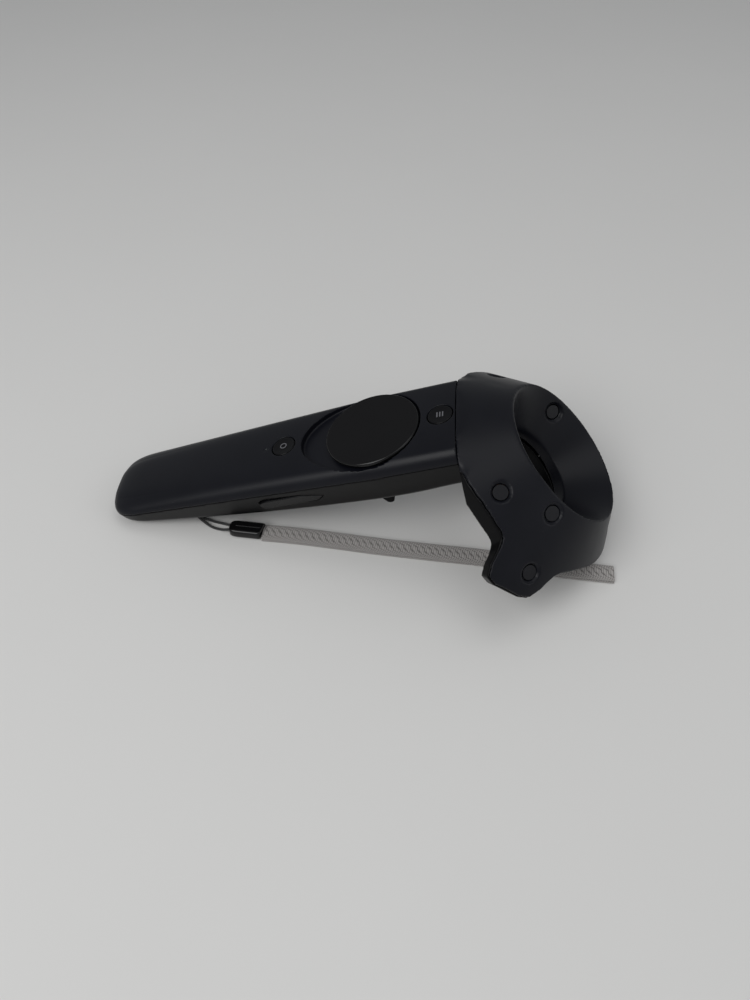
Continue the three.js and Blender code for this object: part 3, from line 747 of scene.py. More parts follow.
@dataclass(frozen=True)
class Plastic:
    """Moulded plastic."""

    name: str
    dark: Colour
    light: Colour
    roughness: Pair
    grain: float = 2600.0  # per metre
    depth: float = 0.02  # of the grain, in millimetres
    strength: float = 0.35
    dust: float = 0.0
    rubs: float = 0.0
    coat: float = 0.0
    specular: float = 0.3

    def make(self) -> bpy.types.Material:
        """Builds the material.

        Returns:
            The material.
        """
        f = Finish(self.name)
        skin = f.group(Effects.moulded_grain(), Grain_Scale=self.grain)
        colour = f.w.ramp(skin.outputs["Shade"], [(0.0, self.dark), (1.0, self.light)])
        rough = f.w.remap(skin.outputs["Shade"], (0.0, 1.0), self.roughness)
        if self.rubs:
            rubs = f.group(Effects.scuffs(), Amount=self.rubs).outputs["Mask"]
            colour = f.mix(rubs, colour, tuple(min(1.0, c * 3 + 0.02) for c in self.light))
            rough = f.w.math("ADD", rough, f.w.math("MULTIPLY", rubs, 0.12))
        if self.dust:
            specks = f.group(Effects.dust(), Amount=self.dust).outputs["Mask"]
            colour = f.mix(specks, colour, (0.16, 0.16, 0.165))
            rough = f.w.math("ADD", rough, f.w.math("MULTIPLY", specks, 0.3))
        f.w.link(colour, f.shader.inputs["Base Color"])
        f.w.link(rough, f.shader.inputs["Roughness"])
        f.bump(skin.outputs["Height"], self.depth, self.strength)
        f.set(Specular_IOR_Level=self.specular)
        if self.coat:
            f.set(Coat_Weight=self.coat, Coat_Roughness=0.06)
        return f.material


@dataclass(frozen=True)
class Metal:
    """Plain or blackened metal with drawing marks."""

    name: str
    dark: Colour
    light: Colour
    roughness: Pair = (0.25, 0.42)

    def make(self) -> bpy.types.Material:
        """Builds the material.

        Returns:
            The material.
        """
        f = Finish(self.name)
        skin = f.group(Effects.moulded_grain(), Grain_Scale=5200.0, Patch_Scale=260.0)
        colour = f.w.ramp(skin.outputs["Shade"], [(0.0, self.dark), (1.0, self.light)])
        rough = f.w.remap(skin.outputs["Height"], (0.3, 0.7), self.roughness)
        f.w.link(colour, f.shader.inputs["Base Color"])
        f.w.link(rough, f.shader.inputs["Roughness"])
        f.bump(skin.outputs["Height"], 0.008, 0.3)
        f.set(Metallic=1.0)
        return f.material


@dataclass(frozen=True)
class Board:
    """Solder-masked board, with copper tracks showing faintly."""

    name: str
    mask: Colour
    track: Colour

    def make(self) -> bpy.types.Material:
        """Builds the material.

        Returns:
            The material.
        """
        f = Finish(self.name)
        cells = f.w.add("ShaderNodeTexVoronoi", distance="CHEBYCHEV", feature="DISTANCE_TO_EDGE")
        cells.inputs["Scale"].default_value = 520.0
        f.w.link(f.position, cells.inputs["Vector"])
        tracks = f.w.remap(cells.outputs["Distance"], (0.05, 0.08), (1.0, 0.0))
        skin = f.group(Effects.moulded_grain(), Grain_Scale=1800.0)
        base = f.w.ramp(
            skin.outputs["Shade"], [(0.0, self.mask), (1.0, tuple(c * 1.3 for c in self.mask))]
        )
        f.w.link(f.mix(tracks, base, self.track), f.shader.inputs["Base Color"])
        f.w.link(f.w.remap(tracks, (0.0, 1.0), (0.35, 0.28)), f.shader.inputs["Roughness"])
        f.bump(tracks, 0.03, 0.5)
        return f.material


@dataclass(frozen=True)
class Woven:
    """Woven or braided yarn, on the piece's own UV map, its colour darker in the dips between yarns
    as painted shade.
    """

    name: str
    dark: Colour
    light: Colour
    counts: Pair  # yarns along and across the whole map
    slant: float = 0.0
    depth: float = 0.12
    roughness: Pair = (0.7, 0.9)

    def make(self) -> bpy.types.Material:
        """Builds the material.

        Returns:
            The material.
        """
        f = Finish(self.name)
        split = f.w.add("ShaderNodeSeparateXYZ")
        uv = f.w.add("ShaderNodeUVMap", uv_map="UVMap")
        f.w.link(uv.outputs["UV"], split.inputs["Vector"])
        along = f.w.math("MULTIPLY", split.outputs["Y"], self.counts[0])
        across = f.w.math("MULTIPLY", split.outputs["X"], self.counts[1])
        yarn = f.group(Effects.threads(), Along=along, Across=across, Slant=self.slant)
        skin = f.group(Effects.moulded_grain(), Grain_Scale=3800.0, Patch_Scale=220.0)
        # Colour follows the yarns' relief: the yarn pattern, plus painted shade where the yarns dip
        # between each other.
        tone = f.w.math(
            "ADD",
            f.w.math("MULTIPLY", yarn.outputs["Height"], 0.75),
            f.w.math("MULTIPLY", skin.outputs["Height"], 0.25),
        )
        colour = f.w.ramp(tone, [(0.1, self.dark), (0.75, self.light)])
        f.w.link(colour, f.shader.inputs["Base Color"])
        rough = f.w.remap(skin.outputs["Shade"], (0.0, 1.0), self.roughness)
        f.w.link(rough, f.shader.inputs["Roughness"])
        f.bump(yarn.outputs["Height"], self.depth, 0.8)
        f.set(Sheen_Weight=0.25, Sheen_Roughness=0.5)
        return f.material


class Look(Enum):
    """Every finish on the controller."""

    UPPER = Plastic(
        "upper_shell_skin", (0.0034, 0.0038, 0.0062), (0.0046, 0.0051, 0.0082), (0.34, 0.42),
        grain=3000.0, depth=0.018, strength=0.4, dust=0.35, rubs=0.25, specular=0.2,
    )
    LOWER = Plastic(
        "lower_shell_skin", (0.002, 0.002, 0.0023), (0.0028, 0.0028, 0.0032), (0.27, 0.35),
        grain=3200.0, depth=0.012, strength=0.25, dust=0.3, rubs=0.3, specular=0.1,
    )
    PAD = Plastic(
        "trackpad_face", (0.0042, 0.0041, 0.0046), (0.0054, 0.0053, 0.0058), (0.55, 0.62),
        grain=4200.0, depth=0.012, strength=0.35, dust=0.4, rubs=0.15, specular=0.15,
    )
    PAD_EDGE = Plastic(
        "trackpad_edge", (0.003, 0.003, 0.0032), (0.004, 0.004, 0.0043), (0.14, 0.2),
        grain=3200.0, depth=0.006, strength=0.15,
    )
    CONTROL = Plastic(
        "control_skin", (0.0032, 0.0032, 0.0038), (0.0042, 0.0042, 0.005), (0.24, 0.32),
        grain=3200.0, depth=0.012, strength=0.25, dust=0.2, specular=0.15,
    )
    MARK = Plastic(
        "printed_mark", (0.11, 0.11, 0.12), (0.14, 0.14, 0.15), (0.5, 0.6), depth=0.004,
    )
    WINDOW = Plastic(
        "sensor_window_face", (0.0042, 0.0044, 0.0062), (0.0055, 0.0057, 0.0078), (0.3, 0.36),
        grain=2600.0, depth=0.006, strength=0.15, dust=0.2,
    )
    LIGHT = Plastic(
        "light_pipe_face", (0.03, 0.034, 0.033), (0.045, 0.05, 0.048), (0.2, 0.25), depth=0.004,
    )
    INNER = Plastic("inner_moulding", (0.02, 0.02, 0.022), (0.03, 0.03, 0.033), (0.5, 0.6))
    FILM = Plastic("sensor_film", (0.25, 0.1, 0.03), (0.32, 0.14, 0.04), (0.3, 0.4))
    CELL = Metal("cell_foil", (0.42, 0.44, 0.47), (0.52, 0.54, 0.57), (0.3, 0.45))
    STEEL = Metal("plain_steel", (0.42, 0.42, 0.44), (0.58, 0.58, 0.6))
    SCREW = Metal("blackened_screw", (0.025, 0.025, 0.027), (0.045, 0.045, 0.048), (0.3, 0.45))
    BOARD = Board("circuit_board", (0.008, 0.05, 0.022), (0.03, 0.11, 0.05))
    CLASP = Plastic(
        "clasp_skin", (0.004, 0.004, 0.0042), (0.0055, 0.0055, 0.006), (0.1, 0.15),
        grain=2600.0, depth=0.005, strength=0.12, dust=0.25, coat=0.25, specular=0.2,
    )
    # The braid's and the tape's dark colour lies in the gaps between yarns, as painted shade.
    STRING = Woven(
        "string_braid", (0.004, 0.004, 0.0042), (0.016, 0.016, 0.017), (150.0, 8.0), slant=0.5,
        depth=0.12, roughness=(0.6, 0.75),
    )
    TAPE = Woven(
        "strap_tape", (0.06, 0.056, 0.053), (0.42, 0.4, 0.385), (150.0, 15.0), slant=0.35,
        depth=0.16,
    )

    def get(self) -> bpy.types.Material:
        """The finish's material, built at its first use."""
        made = bpy.data.materials.get(self.value.name)
        return made or self.value.make()


# ------------------------------------------------------------------ shells


@dataclass(frozen=True)
class GripForm:
    """True surface of the grip, in the grip's frame."""

    tail: float = -124.4
    joint: float = 35.0
    half_width: Pair = (17.9, 22.8)
    depth: Triple = (13.6, 26.0, 24.0)
    shoulder: Pair = (7.0, 4.6)
    seam: float = -6.5
    crown: float = 0.8
    heel: float = 4.0
    lean: float = math.radians(17)
    end_length: float = 15.0
    end_taper: float = 0.46

    def sections(self, x: np.ndarray, steps: int = 24) -> Points:
        """Half sections at stations.

        Args:
            x: The stations.
            steps: Points on each of the section's curves.

        Returns:
            Array of station, point and (y, z), from the top's middle to the underside's.
        """
        along = np.clip((x - self.tail) / -self.tail, 0, 1)
        t = np.clip((x - 8) / (self.joint - 8), 0, 1)
        full = self.depth[0] + (self.depth[1] - self.depth[0]) * np.sin(along * math.pi / 2) ** 0.9
        bottom = -(full + (self.depth[2] - full) * t * t * (3 - 2 * t))
        hw = self.half_width[0] + (self.half_width[1] - self.half_width[0]) * along
        top = -1.4 * (1 - along) ** 3
        sh = self.shoulder[0] + (self.shoulder[1] - self.shoulder[0]) * along
        draw = (self.seam - bottom) * math.tan(self.lean)
        heel_at = hw - draw * (1 - self.heel / (self.seam - bottom))
        seam, nil = np.full_like(x, self.seam), np.zeros_like(x)
        low = bottom + self.heel
        curves = [
            [(nil, top), (hw / 2, top), (hw - sh, top - self.crown)],
            [(hw - sh, top - self.crown), (hw - sh / 3, top - self.crown - sh / 10),
             (hw, seam + sh / 3), (hw, seam)],
            [(hw, seam), (heel_at, low)],
            [(heel_at, low), (hw - draw, bottom), (hw - draw - self.heel, bottom)],
            [(hw - draw - self.heel, bottom), (nil, bottom)],
        ]
        line = np.concatenate([self.bezier(c, steps) for c in curves], axis=1)
        reach = np.clip((x - self.tail) / self.end_length, 0, 1)
        scale = self.end_taper + (1 - self.end_taper) * (1 - (1 - reach) ** 2.6) ** (1 / 2.6)
        middle = ((top + bottom) / 2)[:, None]
        line[:, :, 0] *= scale[:, None]
        line[:, :, 1] = middle + (line[:, :, 1] - middle) * (0.4 + 0.6 * scale[:, None])
        return line

    @staticmethod
    def bezier(points: Sequence[tuple[np.ndarray, np.ndarray]], steps: int) -> Points:
        """Bezier curves of any degree, one per station.

        Args:
            points: Each curve's control points, as across and up.
            steps: Steps along each curve.

        Returns:
            Array of curve, point and (across, up).
        """
        ctrl = np.stack([np.stack(p, -1) for p in points], 1)[:, :, None, :]
        t = np.linspace(0, 1, steps + 1)[None, :, None]
        rows = [ctrl[:, i] for i in range(ctrl.shape[1])]
        while len(rows) > 1:
            rows = [a * (1 - t) + b * t for a, b in zip(rows, rows[1:])]
        return rows[0]

    def nearest(self, co: Points) -> Points:
        """Nearest points on the surface, each within its own section.

        Args:
            co: The points.

        Returns:
            The nearest points.
        """
        station = np.clip(co[:, 0], self.tail, 49.0)
        out = co.copy()
        for start in range(0, len(co), 20000):
            part = slice(start, start + 20000)
            line = self.sections(station[part])
            p = np.stack([np.abs(co[part, 1]), co[part, 2]], -1)[:, None]
            a, d = line[:, :-1], np.diff(line, axis=1)
            t = np.clip(((p - a) * d).sum(-1) / np.maximum((d * d).sum(-1), 1e-9), 0, 1)
            near = a + d * t[..., None]
            best = np.argmin(((near - p) ** 2).sum(-1), axis=1)
            pick = near[np.arange(len(best)), best]
            out[part, 1] = np.sign(co[part, 1]) * pick[:, 0]
            out[part, 2] = pick[:, 1]
        return out


@dataclass(frozen=True)
class RingForm:
    """True surfaces of the sensor ring, in the grip's frame."""

    centre: Triple = (72.6, 0.0, -32.9)
    tilt: float = math.radians(61)
    rim: float = 31.6
    hole: float = 18.5
    funnel: float = 15.2

    def matrix(self) -> Matrix:
        """Frame of the ring, seen from the grip."""
        return Matrix.Translation(self.centre) @ Matrix.Rotation(self.tilt, 4, "Y")

    def nearest(self, co: Points) -> list[Points]:
        """Nearest points on the skirt, the funnel, the hole's band and the ceiling.

        Args:
            co: The points.

        Returns:
            The nearest points.
        """
        m = np.array(self.matrix())
        ring = (co - m[:3, 3]) @ m[:3, :3]
        r = np.maximum(np.hypot(ring[:, 0], ring[:, 1]), 1e-6)
        h = ring[:, 2]
        cones = [
            ((self.rim, 0.0), (1.0, -1.0)),
            ((self.hole, -self.funnel), (self.rim - self.hole, self.funnel)),
            ((self.hole, -self.funnel), (0.0, -1.0)),
        ]
        found = []
        for (r0, h0), (dr, dh) in cones:
            size = math.hypot(dr, dh)
            t = np.maximum(((r - r0) * dr + (h - h0) * dh) / size, 0)
            r1, h1 = r0 + dr / size * t, h0 + dh / size * t
            place = np.stack([ring[:, 0] * r1 / r, ring[:, 1] * r1 / r, h1], 1)
            found.append(place @ m[:3, :3].T + m[:3, 3])
        found.append(self.ceiling(co))
        return found

    @staticmethod
    def ceiling(co: Points) -> Points:
        """Points of the arched top over the ring, straight above or below.

        Args:
            co: The points.

        Returns:
            The points on the ceiling.
        """
        t = np.linspace(0, 1, 200)
        y = 2 * t * (1 - t) * 22.8 + 80 * t * t
        out = co.copy()
        out[:, 2] = np.interp(np.abs(co[:, 1]), y, -14 * t * t)
        return out


@dataclass(frozen=True)
class Moulding:
    """One moulded shell: rounded over, then drawn onto the true surfaces it lies on."""

    node: str
    name: str
    slot: str
    look: Look
    voxel: float = 0.42  # grain of the rounding-over, in millimetres
    passes: int = 6
    body: str = HOUSING
    reach: float = 0.0  # how near a true surface counts
    planes: Sequence[tuple[int, float]] = ()  # axis and level of the flat parting faces
    keys: Sequence[str] = ()  # CAD nodes of the keys that stand in this shell
    key_gap: float = 0.45
    tool_voxel: float = 0.3
    end_margin: float = 2.5  # length of the tail's end that is left as it is
    grip_end: float = 46.0  # how far along the neck the grip's surface counts
    plane_reach: float = 0.3  # how near a parting face counts
    ease_run: Pair = (56.0, 21.0)  # where the neck's easing ends, and its length
    ease_floor: float = -12.0  # lowest level that is eased
    blend_front: Pair = (35.4, 2.5)  # where the neck's blend begins, and its fade
    blend_back: Pair = (64.0, 8.0)  # where it ends, and its fade
    blend_side: Pair = (30.0, 5.0)  # how far it goes to either side, and its fade
    blend_passes: int = 160
    blend_least: float = 0.01  # weakest weight that counts
    grip: GripForm = GripForm()
    ring: RingForm = RingForm()

    def build(self) -> bpy.types.Object:
        """Models, dresses and places the shell.

        Returns:
            The finished shell.
        """
        shell = Bench.node_copy(self.node, self.name, PLACES.grip())
        Bench.modify(shell, "REMESH", mode="VOXEL", voxel_size=self.voxel, adaptivity=0.0)
        if self.reach:
            self.draw_on(shell)
        Bench.modify(shell, "SMOOTH", factor=0.5, iterations=self.passes)
        if self.node == "head_upper_shell":
            self.blend_neck(shell)
        for key in self.keys:
            tool = Bench.node_copy(key, "key_tool", PLACES.grip())
            Bench.modify(tool, "REMESH", mode="VOXEL", voxel_size=self.tool_voxel, adaptivity=0.0)
            Bench.modify(tool, "DISPLACE", strength=self.key_gap, mid_level=0.0)
            Bench.boolean(shell, [tool], "DIFFERENCE")
        Piece(self.body, self.slot, [self.node]).settle(
            shell, PLACES.grip(), [self.look.get()], 180.0
        )
        return shell

    def draw_on(self, shell: bpy.types.Object) -> None:
        """Moves the vertices that lie close to a true surface onto it, and eases the neck.

        Args:
            shell: The shell.
        """
        co = np.empty(len(shell.data.vertices) * 3, np.float32)
        shell.data.vertices.foreach_get("co", co)
        flat = co.reshape(-1, 3).astype(float)
        targets = [self.grip.nearest(flat)]
        away = [np.linalg.norm(targets[0] - flat, axis=1)]
        start, end = self.grip.tail + self.end_margin, self.grip_end
        away[0][(flat[:, 0] < start) | (flat[:, 0] > end)] = np.inf
        if self.node.startswith("head"):
            targets += self.ring.nearest(flat)
            away += [np.linalg.norm(t - flat, axis=1) for t in targets[1:]]
        away = np.array(away)
        best = np.argmin(away, axis=0)
        take = away.min(0) < self.reach
        flat[take] = np.array(targets)[best, np.arange(len(flat))][take]
        for axis, level in self.planes:
            flat[np.abs(flat[:, axis] - level) < self.plane_reach, axis] = level
        if self.node == "head_upper_shell":
            near = self.grip.nearest(flat)
            ease = np.clip((self.ease_run[0] - flat[:, 0]) / self.ease_run[1], 0, 1) ** 1.5
            over = (near[:, 2] > self.ease_floor) & (flat[:, 2] > near[:, 2])
            flat[:, 2] += (near[:, 2] - flat[:, 2]) * ease * over
        shell.data.vertices.foreach_set("co", flat.astype(np.float32).ravel())
        shell.data.update()

    def blend_neck(self, shell: bpy.types.Object) -> None:
        """Blends the flat top of the neck into the ring's cone.

        Args:
            shell: The shell.
        """
        group = shell.vertex_groups.new(name="neck")
        co = np.array([v.co for v in shell.data.vertices])
        (front, front_fade), (back, back_fade) = self.blend_front, self.blend_back
        side, side_fade = self.blend_side
        weight = (
            np.clip((co[:, 0] - front) / front_fade, 0, 1)
            * np.clip((back - co[:, 0]) / back_fade, 0, 1)
            * np.clip((side - np.abs(co[:, 1])) / side_fade, 0, 1)
        )
        for i in np.nonzero(weight > self.blend_least)[0]:
            group.add([int(i)], float(weight[i]), "REPLACE")
        Bench.modify(shell, "SMOOTH", factor=0.5, iterations=self.blend_passes, vertex_group="neck")


@dataclass
class Shells:
    """Outer shells of the grip and of the sensor ring."""

    mouldings: Sequence[Moulding] = (
        Moulding(
            "handle_top_shell", "grip_top_shell", "upper_shell", Look.UPPER, 0.34, 4, reach=0.35,
            planes=((2, -6.35), (0, 34.85)),
        ),
        Moulding(
            "handle_bottom_shell", "grip_bottom_shell", "lower_shell", Look.LOWER, reach=0.35,
            planes=((2, -6.65), (0, 34.85)), keys=("squeeze_button_left", "squeeze_button_right"),
        ),
        Moulding(
            "head_upper_shell", "ring_upper_shell", "upper_shell", Look.UPPER, 0.42, 3, reach=0.35,
            planes=((0, 35.15),),
        ),
        Moulding(
            "head_lower_shell", "ring_lower_shell", "lower_shell", Look.LOWER, reach=0.3,
            planes=((0, 35.15),),
        ),
    )

    def build(self) -> None:
        """Builds every shell."""
        for moulding in self.mouldings:
            moulding.build()


# ------------------------------------------------------------------ controls


@dataclass
class Trackpad:
    """Round trackpad: matt face, glossy side wall."""

    bevel: float = 0.35
    face_level: float = 0.9  # how nearly a face of the disc's top looks up
    face_depth: float = 0.3  # how far below the top it may lie

    def build(self) -> None:
        """Models the disc with its stem and gives the face its own finish."""
        pad = Bench.node_copy("trackpad", "trackpad_disc", PLACES.grip())
        Bench.outward(Bench.soften(pad, self.bevel, 4))
        top = max(v.co.z for v in pad.data.vertices)
        pad.data.materials.append(Look.PAD_EDGE.get())
        pad.data.materials.append(Look.PAD.get())
        for face in pad.data.polygons:
            high = face.center.z > top - self.face_depth
            face.material_index = int(face.normal.z > self.face_level and high)
        Piece("trackpad_assembly", "trackpad", ["trackpad"]).settle(
            pad, PLACES.grip(), [Look.PAD_EDGE.get(), Look.PAD.get()]
        )


@dataclass
class Button:
    """Round key with a mark on its face."""

    node: str
    body: str
    bars: int = 0
    ring: float = 0.0
    bevel: float = 0.3
    relief: float = 0.05

    def build(self) -> None:
        """Models the key and its mark."""
        key = Bench.node_copy(self.node, f"{self.node}_key", PLACES.grip())
        Bench.outward(Bench.soften(key, self.bevel, 4))
        co = np.array([v.co for v in key.data.vertices])
        top = co[:, 2].max()
        middle = (co[:, 0].max() + co[:, 0].min()) / 2
        Piece(self.body, "control", [self.node]).settle(
            key, PLACES.grip(), [Look.CONTROL.get()]
        )
        mark = self.menu_mark(middle, top) if self.bars else self.ring_mark(middle, top)
        Piece(self.body, "control").settle(mark, PLACES.grip(), [Look.MARK.get()])

    def menu_mark(self, middle: float, top: float) -> bpy.types.Object:
        """Three short bars across the key.

        Args:
            middle: The key's middle, along the grip.
            top: Level of the key's face.

        Returns:
            The bars.
        """
        parts = []
        for i in range(self.bars):
            x = middle + (i - (self.bars - 1) / 2) * 1.15
            parts.append(
                Bench.cube(
                    f"{self.node}_bar_{i}", (x - 0.24, -1.35, top - 0.1),
                    (x + 0.24, 1.35, top + self.relief),
                )
            )
        return Bench.joined(parts)

    def ring_mark(self, middle: float, top: float) -> bpy.types.Object:
        """Plain ring on the key.

        Args:
            middle: The key's middle, along the grip.
            top: Level of the key's face.

        Returns:
            The ring.
        """
        outer = Bench.cylinder(
            f"{self.node}_ring", self.ring, top - 0.1, top + self.relief, 48, at=(middle, 0.0)
        )
        inner = Bench.cylinder(
            "ring_tool", self.ring - 0.42, top - 1, top + 1, 48, at=(middle, 0.0)
        )
        return Bench.boolean(outer, [inner], "DIFFERENCE")


@dataclass
class Controls:
    """Everything that is pressed, and the status light."""

    trackpad: Trackpad = field(default_factory=Trackpad)
    buttons: Sequence[Button] = (
        Button("system_button", "system_key", ring=1.5),
        Button("menu_button", "menu_key", bars=3),
    )
    mouldings: Sequence[Moulding] = (
        Moulding(
            "squeeze_button_left", "squeeze_key_left", "control", Look.CONTROL, 0.16, 5,
            "squeeze_left",
        ),
        Moulding(
            "squeeze_button_right", "squeeze_key_right", "control", Look.CONTROL, 0.16, 5,
            "squeeze_right",
        ),
        Moulding("trigger", "trigger_blade", "control", Look.CONTROL, 0.24, 6, "trigger_lever"),
    )

    def build(self) -> None:
        """Builds every control."""
        self.trackpad.build()
        for button in self.buttons:
            button.build()
        for moulding in self.mouldings:
            moulding.build()
        self.status_light()

    @staticmethod
    def status_light() -> None:
        """Flush bezel with a small lens in its middle."""
        lens = Bench.node_copy("status_light", "status_light_measure", PLACES.grip())
        co = np.array([v.co for v in lens.data.vertices])
        bpy.data.meshes.remove(lens.data)
        x, top = (co[:, 0].max() + co[:, 0].min()) / 2, co[:, 2].max()
        bezel = Bench.cylinder("status_light_bezel", 1.15, top - 0.9, top + 0.04, 40, at=(x, 0.0))
        Bench.soften(bezel, 0.04, 2)
        Piece(HOUSING, "upper_shell").settle(bezel, PLACES.grip(), [Look.UPPER.get()])
        lens = Bench.cylinder("status_light_lens", 0.42, top - 0.8, top + 0.08, 32, at=(x, 0.0))
        Bench.soften(lens, 0.03, 2)
        Piece(HOUSING, "light_pipe", ["status_light"]).settle(
            lens, PLACES.grip(), [Look.LIGHT.get()]
        )


# ------------------------------------------------------------------ sensor windows


@dataclass
class Windows:
    """Sensor windows round the ring: one pane, copied to each place."""

    radius: float = 3.0
    bevel: float = 0.12

    def build(self) -> None:
        """Models one pane and copies it to every window of the part."""
        nodes = sorted(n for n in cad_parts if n.startswith("sensor_window"))
        thickness = self.place(nodes[0])[1]
        pattern = Bench.cylinder("pane", self.radius, -thickness / 2, thickness / 2, 48)
        Bench.soften(pattern, self.bevel, 3)
        for node in nodes:
            pane = bpy.data.objects.new(node.replace("window", "pane"), pattern.data.copy())
            bpy.context.scene.collection.objects.link(pane)
            Piece(HOUSING, "sensor_window", [node]).settle(
                pane, self.place(node)[0], [Look.WINDOW.get()]
            )
        bpy.data.meshes.remove(pattern.data)

    @staticmethod
    def place(node: str) -> tuple[Matrix, float]:
        """Where a pane sits.

        Args:
            node: The window's CAD node.

        Returns:
            Its matrix with z along the pane's axis, and its thickness in millimetres.
        """
        co = np.array([v.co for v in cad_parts[node].data.vertices]) / MM
        middle = (co.max(0) + co.min(0)) / 2
        axis = np.linalg.svd(co - co.mean(0), full_matrices=False)[2][2]
        depth = (co - middle) @ axis
        turn = Vector(axis).to_track_quat("Z", "Y").to_matrix().to_4x4()
        matrix = PLACES.table() @ Matrix.Translation(middle) @ turn
        return matrix, float(depth.max() - depth.min())


# ------------------------------------------------------------------ wrist lanyard


class Route:
    """Smooth line through points, with a level sideways direction at each station."""

    def __init__(self, points: Sequence[Triple], steps: int) -> None:
        """Runs a centripetal curve through the points, in equal steps of length.

        Args:
            points: The points, in millimetres.
            steps: Number of equal steps.
        """
        p = np.array(points, float)
        p = np.vstack([2 * p[0] - p[1], p, 2 * p[-1] - p[-2]])
        dense = []
        for i in range(1, len(p) - 2):
            t = np.linspace(0, 1, 24, endpoint=False)[:, None]
            a, b, c, d = p[i - 1 : i + 3]
            dense.append(
                0.5 * (2 * b + (c - a) * t + (2 * a - 5 * b + 4 * c - d) * t**2
                       + (3 * b - a - 3 * c + d) * t**3)
            )
        line = np.vstack([*dense, p[-2:-1]])
        run = np.concatenate([[0], np.cumsum(np.linalg.norm(np.diff(line, axis=0), axis=1))])
        self.length = float(run[-1])
        stations = np.linspace(0, self.length, steps + 1)
        self.points = np.stack([np.interp(stations, run, line[:, k]) for k in range(3)], 1)
        along = np.gradient(self.points, axis=0)
        self.along = along / np.linalg.norm(along, axis=1, keepdims=True)
        side = [np.cross((0.0, 0.0, 1.0), self.along[0])]
        for tangent in self.along:
            last = side[-1] - tangent * (side[-1] @ tangent)
            side.append(last / np.linalg.norm(last))
        self.side = np.array(side[1:])
        self.up = np.cross(self.along, self.side)

    def metres(self) -> list[list[float]]:
        """The stations in the row frame."""
        return (self.points * MM).tolist()

    def tube(self, half_width: float, half_height: float, squareness: float) -> Placer:
        """Placer of a tube along the line.

        Args:
            half_width: Half the tube's width, sideways.
            half_height: Half its height.
            squareness: 1 for an ellipse, smaller for a flatter tape.

        Returns:
            A function from shares round and along the tube to points.
        """
        count = len(self.points) - 1

        def place(round_share: np.ndarray, along_share: np.ndarray) -> Points:
            """Points of the tube's skin, for shares round and along it."""
            i = np.clip(np.rint(along_share * count).astype(int), 0, count)
            turn = round_share * 2 * math.pi
            c, s = np.cos(turn), np.sin(turn)
            y = half_width * np.sign(c) * np.abs(c) ** squareness
            z = half_height * np.sign(s) * np.abs(s) ** squareness
            return self.points[i] + self.side[i] * y[:, None] + self.up[i] * z[:, None]

        return place


